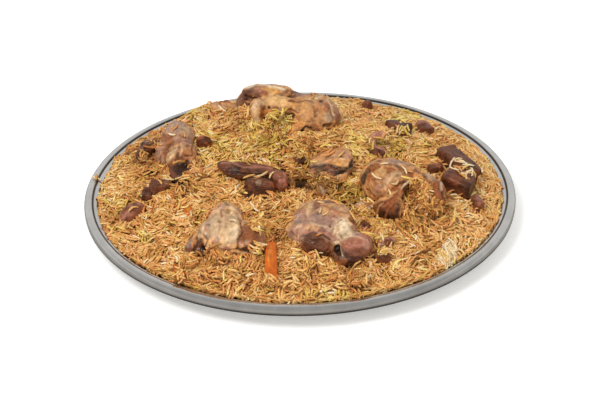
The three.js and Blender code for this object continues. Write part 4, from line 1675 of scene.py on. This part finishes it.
DRIFTS = tuple(
    Drift(Spot((x, y), (wide, high), turn), count, pile, mix, *lie)
    for x, y, wide, high, turn, count, pile, mix, *lie in (
        (279, 123, 13, 12, -14, 240, 7, YELLOWED), (244, 119, 7, 12, 0, 120, 6, COMMON),
        (256, 140, 10, 8, 0, 110, 6, YELLOWED), (264, 149, 17, 8, -6, 120, 4, YELLOWED),
        (309, 142, 13, 9, 0, 170, 7, MIXED), (330, 142, 18, 8, 14, 180, 7, MIXED),
        (234, 187, 12, 8, -20, 120, 5, MIXED), (258, 224, 6, 6, 20, 24, 1.5, MIXED),
        (282, 216, 11, 9, 0, 90, 3, MIXED), (380, 231, 14, 8, 20, 110, 4, MIXED),
        (411, 198, 6, 9, 0, 90, 5, COMMON), (416, 217, 14, 7, 0, 120, 4, COMMON),
        (444, 215, 9, 6, 20, 60, 3, COMMON), (147, 150, 10, 13, 0, 12, 1, COMMON),
        (146, 170, 13, 6, 0, 50, 2, COMMON), (402, 131, 9, 4, 0, 12, 1, YELLOWED),
        (470, 176, 18, 4, -34, 14, 0.4, MIXED), (464, 167, 13, 8, -30, 9, 0.4, WHITE),
        (262, 177, 14, 3, 0, 7, 0.4, WHITE), (262, 198, 14, 4, 6, 16, 1, MIXED),
        (200, 109, 10, 5, 20, 50, 3, YELLOWED), (97, 181, 2, 3, 0, 2, 0, WHITE),
        (219, 114, 17, 5, 8, 50, 2, MIXED), (291, 252, 11, 11, 0, 150, 5, COMMON),
        (314, 258, 18, 5, -10, 80, 2, COMMON), (360, 277, 14, 7, 0, 80, 3, COMMON),
        (358, 270, 10, 5, 0, 16, 1.5, MIXED), (178, 276, 7, 7, 0, 18, 1, COMMON),
        (270, 281, 8, 4, 0, 26, 1.5, COMMON), (386, 250, 9, 5, 0, 30, 2, MIXED),
        (360, 214, 9, 6, 0, 40, 2.5, MIXED), (247, 264, 14, 6, 10, 70, 2, COMMON),
        (206, 264, 14, 5, 30, 70, 2, COMMON), (376, 142, 9, 8, 0, 5, 0.4, YELLOWED),
        (334, 152, 16, 4, 8, 4, 0.2, TANNED), (330, 184, 20, 4, 8, 40, 1.5, MIXED),
        (172, 137, 4, 4, 0, 1, 0, WHITE), (325, 211, 6, 3, 0, 2, 0, WHITE),
        (396, 180, 26, 18, 0, 7, 0.2, WHITE), (418, 192, 10, 13, 0, 110, 4, COMMON),
        (432, 208, 8, 8, 0, 50, 3, COMMON), (214, 252, 8, 6, 20, 30, 2, COMMON),
        (256, 248, 8, 5, 20, 14, 1, MIXED), (258, 226, 5, 6, -8, 26, 2, MIXED),
        (226, 258, 12, 4, 0, 30, 2, COMMON), (190, 262, 9, 6, 30, 50, 3, COMMON),
        (281, 121, 8, 8, 0, 14, 2, WHITE), (265, 126, 3, 6, -20, 6, 1, YELLOWED),
        (262, 160, 28, 4, 0, 16, 1, YELLOWED), (297, 150, 12, 8, 0, 90, 5, MIXED),
        (246, 150, 14, 6, 0, 70, 3, YELLOWED), (424, 196, 6, 12, -10, 26, 1.5, TANNED),
        (324, 180, 12, 4, 8, 20, 1, MIXED), (268, 226, 10, 5, 0, 36, 2, MIXED),
        (249, 129, 8, 9, 0, 110, 5, YELLOWED), (256, 137, 8, 6, 0, 80, 6, YELLOWED),
        (447, 255, 7, 13, -20, 130, 3, WHITE, 100),
    )
)


@dataclass
class Grains:
    """Grains that are placed but not yet made: middles, directions, upper sides, kinds and tones."""

    rows: list[tuple[np.ndarray, ...]] = field(default_factory=list)

    def add(
        self, middle: np.ndarray, along: np.ndarray, up: np.ndarray, kind: np.ndarray, shade: np.ndarray
    ) -> None:
        """Adds grains, with their directions made square to one another.

        Args:
            middle: Their middles in millimetres.
            along: Which way they lie.
            up: Which way their upper sides face.
            kind: The numbers of their kinds.
            shade: How light they are, from 0 to 1.
        """
        along = unit(along)
        self.rows.append((middle, along, unit(flattened(up, along)), kind, shade))


@dataclass
class RiceHeap:
    """The rice: packed rice in the shape of the CAD node, sunk a little, and real grains over it.

    Lengths are in millimetres and angles in degrees. The bed lies between its deepest and proudest levels,
    in bunches of grains that lie alike. Skirts are the grains at the foot of the meat, and the edge is
    beside the tray's wall. Tones say how light the grains of each are.
    """

    bed_count: int = 19500
    tries: float = 1.9
    cover: float = 3.2
    deepest: float = 3.2
    proudest: float = 1.5
    bunch_size: float = 15
    bunch_rise: float = 1.8
    bunch_tilt: float = 14
    bunch_tone: float = 0.16
    bed_tone: float = 0.68
    deep_layer_shade: float = 0.42
    scatter: float = 0.45
    tilt: float = 12
    edge_radius: float = 211
    edge_rise: float = 0.5
    edge_tone: float = 0.56
    wall_radius: float = 212.4
    foot: Point = (21, 31)
    skirt_radius: float = 200
    skirt_rise: Point = (0.3, 4.6)
    skirt_tone: float = 0.52
    drift_radius: float = 213
    drift_depth: float = 3.4
    stray_radius: float = 195
    bare_top: float = 6
    loose_tone: float = 0.6
    lowest: float = 15
    darkest: float = -0.55
    spread: float = 0.17
    edge_spread: float = 0.15
    loose_spread: float = 0.18
    length: Point = (9.5, 16)
    width: Point = (2.3, 3.1)
    flatness: float = 0.86
    bend: float = 1.7
    hook: float = 1.1
    grains: Grains = field(default_factory=Grains)
    chance: np.random.Generator = field(default_factory=lambda: np.random.default_rng(SEED))

    @staticmethod
    def _sunk(places: np.ndarray) -> np.ndarray:
        """How far loose clumps and the furrows between them lower the heap.

        Args:
            places: Places in millimetres.

        Returns:
            A depth in millimetres for each, below 0 where the heap is raised.
        """
        flat = places * LEVEL
        warped = flat + 5 * np.stack([noise(flat, 15, 83), noise(flat, 15, 84), np.zeros(len(flat))], axis=1)
        furrows = 5.6 * (0.5 - np.sqrt(np.abs(noise(warped, 23, 23))))
        inside = 1 - step_between(190, 208, np.linalg.norm(flat, axis=1))
        return (furrows + 2.2 * rough(flat, 11, 27, 2)) * inside

    @staticmethod
    def _pitted(places: np.ndarray) -> tuple[np.ndarray, np.ndarray]:
        """The holes and mounds of the heap.

        Args:
            places: Places in millimetres.

        Returns:
            How deep the heap is pitted at each, and how much painted shade darkens it in there, from 0 to 1.
        """
        picture = VIEW.project(places)
        depth, dark = np.zeros(len(places)), np.zeros(len(places))
        for pit in PITS:
            near = pit.spot.distance(picture) + 0.3 * rough(places, 5, 33)
            depth += pit.depth * np.exp(-(near**2))
            if pit.depth > 0:
                dark = np.maximum(dark, 1 - step_between(0.5, 1.15, near))
        return depth, dark

    def build_core(self, finish: Material) -> Object:
        """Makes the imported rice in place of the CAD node.

        Args:
            finish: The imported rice's material.

        Returns:
            The piece.
        """
        shape = merged_copy("rice")
        bmesh.ops.subdivide_edges(shape, edges=shape.edges[:], cuts=2, use_grid_fill=True)
        bmesh.ops.triangulate(shape, faces=shape.faces[:])
        mesh = mesh_of(shape, "rice_core")
        piece = new_object("rice_core", mesh)
        points = points_of(mesh)
        upward = np.clip(normals_of(mesh)[:, 2], 0, 1)
        depth, dark = self._pitted(points)
        outer = step_between(197, 210, np.linalg.norm(points[:, :2], axis=1))
        cover = self.cover * (1 - self.edge_rise * outer)
        points[:, 2] -= upward * (cover + 0.6 * rough(points, 6, 5) + self._sunk(points) + depth)
        set_points(mesh, points)
        # painted shade inside the pits
        store(mesh, "dark", dark)
        mesh.shade_smooth()
        mesh.materials.append(finish)
        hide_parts("rice")
        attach(piece, "root")
        LOG.info("rice_core: %d faces", len(mesh.polygons))
        return piece

    def _drawn(self, shares: np.ndarray) -> np.ndarray:
        """Draws a kind for each grain by its row of shares."""
        drawn = self.chance.random(len(shares))[:, None]
        return np.minimum((shares.cumsum(axis=1) < drawn).sum(axis=1), len(Kind) - 1)

    def _kinds(self, points: np.ndarray) -> tuple[np.ndarray, np.ndarray]:
        """Draws a kind for each grain by the stains and painted shading that it lies in.

        Args:
            points: Places in millimetres.

        Returns:
            The kinds, and how much lighter the grains are painted there: painted light above 0, painted shade
            below.
        """
        picture = VIEW.project(points)
        shares = np.tile(np.array(COMMON), (len(points), 1))
        tone = np.zeros(len(points))
        for stain_and_shading in STAINS_AND_SHADING:
            inside = stain_and_shading.spot.distance(picture) + 0.4 * rough(points, 14, 19)
            share = 1 - step_between(0.6, 1.2, inside)
            shares += share[:, None] * (np.array(stain_and_shading.mix) - shares)
            tone += share * stain_and_shading.tone
        return self._drawn(shares), np.maximum(tone, self.darkest)

    def _on_disc(self, count: int, radius: float) -> list[list[float]]:
        """Draws places on a disc.

        Args:
            count: How many.
            radius: The disc's radius.

        Returns:
            The x and y of each.
        """
        reach = radius * np.sqrt(self.chance.random(count))
        angle = TURN * self.chance.random(count)
        return np.stack([reach * np.cos(angle), reach * np.sin(angle)], axis=1).tolist()

    def strew_bed(self, heap: BVHTree, meats: BVHTree) -> None:
        """Covers the heap with grains.

        Args:
            heap: The CAD rice.
            meats: All the meat and carrot, dressed.
        """
        tops, normals = [], []
        for x, y in self._on_disc(int(self.bed_count * self.tries), self.edge_radius):
            start = Vector((x, y, ABOVE))
            top, normal, _, _ = heap.ray_cast(start, DOWN)
            above, _, _, _ = meats.ray_cast(start, DOWN)
            if top is not None and (above is None or above.z <= top.z + 1):
                tops.append(top)
                normals.append(normal)
        middle, up = np.array(tops), unit(np.array(normals) + LIFT)
        chosen = self.chance.permutation(len(middle))[: self.bed_count]
        middle, up = middle[chosen], up[chosen]
        count = len(middle)
        kind, tone = self._kinds(middle)
        turned, raised, tilted, toned = self._bunches(middle)
        layer = self.chance.random(count)
        height = self.proudest - layer * (self.deepest + self.proudest) + self.bunch_rise * (raised - 0.5)
        middle = middle + up * height[:, None]
        sunk = self._sunk(middle)
        depth, dark = self._pitted(middle)
        middle[:, 2] -= sunk + depth
        flow = TURN * turned + 1.5 * noise(middle, 30, 29) + self.chance.normal(0, self.scatter, count)
        along = flattened(np.stack([np.cos(flow), np.sin(flow), np.zeros(count)], axis=1), up)
        tilt = np.radians(self.chance.normal(0, self.tilt, count) + self.bunch_tilt * (2 * tilted - 1))
        along = unit(along) * np.cos(tilt)[:, None] + up * np.sin(tilt)[:, None]
        keep = np.array([self._clear(point, meats) for point in middle.tolist()]) & (dark < 0.6)
        # painted shade: deeper layers, furrows and pits are darker, and mounds paler
        shade = self.bed_tone + 0.1 * rough(middle, 26, 37) + self.chance.normal(0, self.spread, count)
        shade += self.bunch_tone * (toned - 0.5) - self.deep_layer_shade * layer**2
        shade += tone - 0.11 * np.clip(sunk, -1.5, 4) - 0.4 * dark
        self.grains.add(middle[keep], along[keep], up[keep], kind[keep], shade[keep])
        LOG.info("bed: %d grains", int(keep.sum()))

    def _bunches(self, points: np.ndarray) -> list[np.ndarray]:
        """Four numbers from 0 to 1 that are alike for all grains of a bunch.

        Args:
            points: Places in millimetres.

        Returns:
            The numbers, for each place.
        """
        flat = points * LEVEL
        shift = np.stack([rough(flat, 16, 85, 2), rough(flat, 16, 87, 2), np.zeros(len(flat))], axis=1)
        cells = np.floor((flat + 7 * shift) / self.bunch_size).astype(np.int64).astype(np.uint32)
        return [lattice(cells, seed) for seed in (201, 202, 203, 204)]

    def strew_skirts(self, heap: BVHTree, meats: BVHTree, count: int = 15000, reach: float = 7) -> None:
        """Heaps grains against the foot of every piece.

        Args:
            heap: The CAD rice.
            meats: All the meat and carrot, dressed.
            count: How many places are tried over the whole heap.
            reach: How far from a piece the grains are heaped, in millimetres.
        """
        middles, ups = [], []
        for x, y in self._on_disc(count, self.skirt_radius):
            top, normal, _, _ = heap.ray_cast(Vector((x, y, ABOVE)), DOWN)
            if top is None:
                continue
            near, facing, _, distance = meats.find_nearest(top, reach)
            if near is None:
                continue
            place = top + Vector((0, 0, (1 - distance / reach) * self.chance.uniform(*self.skirt_rise)))
            if self._clear(list(place), meats):
                middles.append(list(place))
                ups.append(list(normal * 0.7 + facing * 0.6 + Vector((0, 0, 0.5))))
        middle, up = np.array(middles), unit(np.array(ups))
        along = flattened(self.chance.normal(0, 1, middle.shape), up, 0.8)
        kind, tone = self._kinds(middle)
        shade = self.skirt_tone + tone + self.chance.normal(0, self.spread, len(middle))
        keep = self._pitted(middle)[1] < 0.5
        self.grains.add(middle[keep], along[keep], up[keep], kind[keep], shade[keep])
        LOG.info("skirts: %d grains", int(keep.sum()))

    def strew_edge(self, heap: BVHTree, count: int = 1100) -> None:
        """Lays grains along the foot of the heap, beside the tray's wall.

        Args:
            heap: The CAD rice.
            count: How many places are tried.
        """
        angle = TURN * self.chance.random(count)
        starts = np.stack([np.cos(angle), np.sin(angle), self.chance.uniform(*self.foot, count)], axis=1)
        starts *= np.array([self.wall_radius, self.wall_radius, 1])
        middles, ups = [], []
        for start in starts.tolist():
            near, facing, _, _ = heap.find_nearest(Vector(start))
            place = near + 0.3 * facing
            if place.xy.length < self.wall_radius and place.z > self.lowest:
                middles.append(list(place))
                ups.append(list(facing))
        middle, up = np.array(middles), unit(np.array(ups))
        around = unit(np.stack([-middle[:, 1], middle[:, 0], np.zeros(len(middle))], axis=1))
        along = flattened(around + self.chance.normal(0, 0.25, middle.shape), up, 0.9)
        kind, tone = self._kinds(middle)
        shade = self.edge_tone + tone + self.chance.normal(0, self.edge_spread, len(middle))
        self.grains.add(middle, along, up, kind, shade)
        LOG.info("edge: %d grains", len(middle))

    @staticmethod
    def _clear(point: list[float], meats: BVHTree) -> bool:
        """Whether a place isn't inside a piece of meat."""
        near, normal, _, _ = meats.find_nearest(Vector(point), 12)
        return near is None or (Vector(point) - near).dot(normal) > 0.2

    def strew_drifts(self, everything: BVHTree) -> None:
        """Lays the loose grains on what the camera sees there.

        Args:
            everything: The heap and all that lies on it.
        """
        eye = Vector(VIEW.eye())
        for drift in DRIFTS:
            rows = []
            for at in drift.spot.random_points(self.chance, drift.count):
                hit, normal, _, _ = everything.ray_cast(eye, VIEW.ray(at))
                if hit is None or hit.z < self.lowest or (drift.pile and hit.xy.length > self.drift_radius):
                    continue
                away = drift.spot.distance(np.array([at]))[0]
                rise = drift.pile * (1 - away**2) - self.drift_depth * self.chance.random()
                rows.append((*hit, *normal, max(rise, 0)))
            if rows:
                self._lay(np.array(rows), drift.mix, drift.lie)

    def strew_strays(self, everything: BVHTree, count: int = 110) -> None:
        """Drops single grains over the whole plate, as they lie on the meat from every side.

        Args:
            everything: The heap and all that lies on it.
            count: How many fall.
        """
        rows = []
        ceiling = CAD_BOX[1][2] / MM - self.bare_top
        for _ in range(count):
            angle = TURN * self.chance.random()
            radius = self.stray_radius * math.sqrt(self.chance.random())
            start = Vector((radius * math.cos(angle), radius * math.sin(angle), ABOVE))
            hit, normal, _, _ = everything.ray_cast(start, DOWN)
            if hit is not None and normal.z > 0.3 and hit.z < ceiling:
                rows.append((*hit, *normal, 0))
        self._lay(np.array(rows), TANNED)

    def _lay(self, rows: np.ndarray, mix: tuple[float, ...], lie: float | None = None) -> None:
        """Lays grains on a surface.

        Args:
            rows: The place, the normal and the height above it of each grain.
            mix: The shares of the kinds.
            lie: The direction in the picture that they share, if they do.
        """
        count = len(rows)
        up = unit(rows[:, 3:6] + LIFT)
        middle = rows[:, :3] + up * (0.9 + rows[:, 6:7])
        along = self.chance.normal(0, 1, (count, 3))
        if lie is not None:
            angle = math.radians(lie)
            along = 0.4 * along + 1.6 * (np.array([math.cos(angle), math.sin(angle), 0]) @ VIEW.axes())
        along = flattened(along, up, 0.88)
        kind = self._drawn(np.tile(np.array(mix), (count, 1)))
        tone = self._kinds(middle)[1]
        shade = self.loose_tone + 0.7 * tone + self.chance.normal(0, self.loose_spread, count)
        self.grains.add(middle, along, up, kind, shade)

    @staticmethod
    def _grain_shape() -> tuple[np.ndarray, np.ndarray]:
        """One straight grain along X, one unit long each way.

        Returns:
            Its points, and its triangles as numbers of points.
        """
        shape = bmesh.new()
        bmesh.ops.create_uvsphere(shape, u_segments=4, v_segments=4, radius=1)
        bmesh.ops.rotate(shape, verts=shape.verts, matrix=Matrix.Rotation(math.pi / 2, 3, "Y"))
        bmesh.ops.triangulate(shape, faces=shape.faces[:])
        points = np.array([v.co for v in shape.verts])
        faces = np.array([[v.index for v in face.verts] for face in shape.faces])
        shape.free()
        round_ = np.hypot(points[:, 1], points[:, 2])
        fuller = np.where(round_ > 1e-6, np.maximum(round_, 1e-6) ** 0.6 / np.maximum(round_, 1e-6), 0)
        points[:, 1:] *= fuller[:, None]
        return points, faces

    def build_grains(self, finishes: dict[Kind, Material]) -> list[Object]:
        """Makes every placed grain, one piece for each kind.

        Args:
            finishes: The kinds' materials.

        Returns:
            The pieces.
        """
        shape, faces = self._grain_shape()
        middle, along, up, kind, shade = (np.concatenate(column) for column in zip(*self.grains.rows))
        side = np.cross(up, along)
        count = len(middle)
        half = self.chance.uniform(*self.length, count) / 2
        thick = self.chance.uniform(*self.width, count) / 2
        bend = self.chance.normal(0, self.bend, count)
        hook = self.chance.normal(0, self.hook, count)
        arch = 1 - shape[:, 0] ** 2
        pieces = []
        for each in Kind:
            own = np.nonzero(kind == each.value)[0][:, None]
            x = (shape[:, 0] * half[own])[..., None]
            y = (shape[:, 1] * thick[own] + bend[own] * arch)[..., None]
            z = (shape[:, 2] * thick[own] * self.flatness + hook[own] * arch)[..., None]
            places = middle[own] + x * along[own] + y * side[own] + z * up[own]
            pieces.append(self._joined(each, places, faces, shade[own[:, 0]], finishes[each]))
        return pieces

    @staticmethod
    def _joined(
        kind: Kind, places: np.ndarray, faces: np.ndarray, shade: np.ndarray, finish: Material
    ) -> Object:
        """Joins the grains of one kind into one piece.

        Args:
            kind: The kind.
            places: The points of each grain, in millimetres.
            faces: The triangles of one grain.
            shade: How light each grain is.
            finish: The kind's material.

        Returns:
            The piece.
        """
        grains, points_each = places.shape[:2]
        corners = (faces + points_each * np.arange(grains)[:, None, None]).reshape(-1)
        mesh = bpy.data.meshes.new("rice_" + kind.name.lower())
        mesh.vertices.add(grains * points_each)
        mesh.vertices.foreach_set("co", (places * MM).astype(np.float32).ravel())
        mesh.loops.add(len(corners))
        mesh.loops.foreach_set("vertex_index", corners.astype(np.int32))
        mesh.polygons.add(len(corners) // 3)
        mesh.polygons.foreach_set("loop_start", np.arange(0, len(corners), 3, dtype=np.int32))
        mesh.update(calc_edges=True)
        mesh.validate()
        store(mesh, "shade", np.clip(np.repeat(shade, points_each), 0, 1))
        mesh.shade_smooth()
        mesh.materials.append(finish)
        piece = new_object("rice_" + kind.name.lower(), mesh)
        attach(piece, "root")
        LOG.info("%s: %d grains, %d faces", piece.name, grains, len(mesh.polygons))
        return piece


# The tray


@dataclass(frozen=True)
class Tray:
    """The pressed tray: a flat floor, a sloping side, a crease and a rolled rim turned down outside.

    Its profile is told by radii and heights in millimetres, along the inside, over the rim and back
    underneath.
    """

    segments: int = 288
    inside: tuple[Point, ...] = (
        (0, 1.2), (188, 1.2), (191, 1.9), (194, 4.2), (206, 20.5), (209, 23.4), (214.6, 26.2),
    )
    rim: tuple[Point, ...] = (
        (215.3, 25.9), (215.9, 25.7), (216.3, 26.0), (216.7, 27.0), (217.6, 27.6), (219, 27.8), (220.6, 27.7),
        (222, 27.4), (223.2, 26.9), (224.1, 26.2), (224.7, 25.2), (225, 23.8), (225, 21.4), (224.6, 19.2),
    )
    underside: tuple[Point, ...] = (
        (223.4, 19.2), (223.6, 22.6), (222.3, 24.8), (220, 26.2), (217.8, 25.4), (215.2, 24.1),
        (207.1, 19.2), (194.8, 1.4), (191, 0), (0, 0),
    )

    def build(self, finish: Material) -> Object:
        """Turns the tray from its profile, in place of its node.

        Args:
            finish: The steel.

        Returns:
            The piece.
        """
        shape = bmesh.new()
        around = (*self.inside, *self.rim, *self.underside)
        profile = [shape.verts.new((radius * MM, 0, height * MM)) for radius, height in around]
        edges = [shape.edges.new(pair) for pair in zip(profile, profile[1:])]
        bmesh.ops.spin(
            shape, geom=profile + edges, cent=(0, 0, 0), axis=(0, 0, 1), angle=TURN, steps=self.segments,
            use_merge=True,
        )
        bmesh.ops.remove_doubles(shape, verts=shape.verts, dist=1e-6)
        bmesh.ops.recalc_face_normals(shape, faces=shape.faces)
        mesh = mesh_of(shape, "tray_dressed")
        mesh.shade_smooth()
        piece = new_object("tray_dressed", mesh)
        mesh.materials.append(finish)
        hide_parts("tray")
        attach(piece, "root")
        LOG.info("tray: %d faces", len(mesh.polygons))
        return piece


# The studio


@dataclass(frozen=True)
class Softbox:
    """A square lamp, aimed at the plate. Its place and size are in metres, its power in watts."""

    name: str
    place: tuple[float, float, float]
    size: float
    power: float

    def build(self, lit: Collection) -> None:
        """Builds the lamp.

        Args:
            lit: The collection that says what it lights.
        """
        lamp = bpy.data.lights.new(self.name, "AREA")
        lamp.size = self.size
        lamp.energy = self.power
        holder = bpy.data.objects.new(self.name, lamp)
        holder.location = self.place
        holder.rotation_euler = (-Vector(self.place)).to_track_quat("-Z", "Y").to_euler()
        holder.light_linking.receiver_collection = lit
        bpy.context.scene.collection.objects.link(holder)


@dataclass(frozen=True)
class Studio:
    """A pale floor, soft light from all sides and two softboxes.

    Lights go from a low to a high value between the two ends of a span, which is how far a direction leans
    up and to the front. The room is what the steel mirrors.
    """

    floor: str = "f2f1ee"
    sky: str = "ffffff"
    reflected: str = "9a9691"
    sky_span: Point = (-0.35, 0.35)
    sky_light: Point = (0.32, 0.72)
    room_span: Point = (-0.1, 0.7)
    room: Point = (0.74, 0.4)
    glow: float = 0.4
    reflected_glow: float = 0.05
    floor_size: float = 3
    floor_roughness: float = 0.8
    floor_gap: float = 0.4
    boxes: tuple[Softbox, ...] = (
        Softbox("key", (-0.7, -1.1, 1.7), 0.7, 24),
        Softbox("front", (0.7, -1.6, 1.5), 0.8, 6),
    )

    def build(self, tray: Object) -> None:
        """Builds the floor, the sky and the lamps.

        Args:
            tray: The tray, which is lit by the sky alone, so that its rim shows no glare.
        """
        self._build_floor()
        self._build_sky()
        bpy.context.scene.view_settings.view_transform = "Standard"
        lit = bpy.data.collections.new("lit_by_lamps")
        lit.objects.link(tray)
        lit.collection_objects[0].light_linking.link_state = "EXCLUDE"
        for box in self.boxes:
            box.build(lit)

    def _build_floor(self) -> None:
        """Builds the pale floor, which is darker where it is mirrored in the steel."""
        shape = bmesh.new()
        bmesh.ops.create_grid(shape, x_segments=2, y_segments=2, size=self.floor_size)
        bmesh.ops.translate(shape, verts=shape.verts, vec=(0, 0, -self.floor_gap * MM))
        floor = new_object("floor", mesh_of(shape, "floor"))
        paint = NewMaterial("floor")
        mirrored = add_node(paint.tree, "LightPath").outputs["Is Glossy Ray"]
        seen = blend(paint.tree, mirrored, self.floor, self.reflected)
        glow = remap(paint.tree, mirrored, None, None, self.glow, self.reflected_glow)
        light = {"Emission Color": (*linear(self.floor), 1), "Emission Strength": glow}
        paint.shade(seen, self.floor_roughness, light)
        floor.data.materials.append(paint.material)

    def _build_sky(self) -> None:
        """Builds the sky, brighter towards the top and the front, with a grade of its own in reflections."""
        world = bpy.data.worlds.new("sky")
        world.use_nodes = True
        tree = world.node_tree
        light = tree.nodes["Background"]
        light.inputs[0].default_value = (*linear(self.sky), 1)
        direction = add_node(tree, "TexCoord").outputs["Generated"]
        _, towards, up = add_node(tree, "SeparateXYZ", direction).outputs
        lean = calculate(tree, "MULTIPLY_ADD", towards, -0.8, up)
        grade = remap(tree, lean, *self.sky_span, *self.sky_light)
        room = remap(tree, lean, *self.room_span, *self.room)
        mirrored = add_node(tree, "LightPath").outputs["Is Glossy Ray"]
        tree.links.new(add_node(tree, "Mix", mirrored, None, grade, room).outputs[0], light.inputs[1])
        bpy.context.scene.world = world


def main() -> None:
    """Builds the plate, its light and its camera."""
    logging.basicConfig(level=logging.INFO, format="%(message)s")
    VIEW.make_camera()
    effects = SharedEffects()
    tray = Tray().build(SteelFinish().material(effects))
    Studio().build(tray)
    finishes = (
        MeatFinish("roast_meat"),
        MeatFinish("boiled_meat", wet=0.2, coat=0.12),
        MeatFinish("fatty_meat", strand_depth=0.1, wet=0.25),
        MeatFinish("dark_meat", strand_depth=0.4, wet=0.3),
        MeatFinish("brown_meat", strand_depth=0.15, wet=0.22),
        MeatFinish("gristle", strand_depth=0.1, wet=0.15, coat=0.2),
    )
    materials = {finish.slot: finish.material(effects) for finish in finishes}
    back = (top_joint(), flank_slab(), left_shank())
    front = (front_left_joint(), front_centre_joint(), right_joint())
    pieces = [meat.build(materials[meat.slot]) for meat in (*back, *front, *cut_pieces())]
    carrot = CarrotFinish().material(effects)
    strips = (
        Carrot("carrot_front", (0.05, 1, 0.4)),
        Carrot("carrot_left", (-0.37, 0.9, 0.4)),
        Carrot("carrot_left_curl", (-0.96, 0.27, 0)),
        Carrot("carrot_front_left", (-0.27, 0.94, 0.2)),
    )
    pieces += [strip.build(carrot) for strip in strips]
    rice = RiceHeap()
    rice.build_core(PackedRiceFinish().material(effects))
    meshes = [piece.data for piece in pieces]
    heap = tree_of([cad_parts["rice"].data])
    meats = tree_of(meshes)
    rice.strew_bed(heap, meats)
    rice.strew_skirts(heap, meats)
    rice.strew_edge(heap)
    everything = tree_of([*meshes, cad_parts["rice"].data, tray.data])
    rice.strew_drifts(everything)
    rice.strew_strays(everything)
    rice.build_grains({kind: finish.material(effects) for kind, finish in GRAIN_FINISHES.items()})


if __name__ == "__main__":
    main()
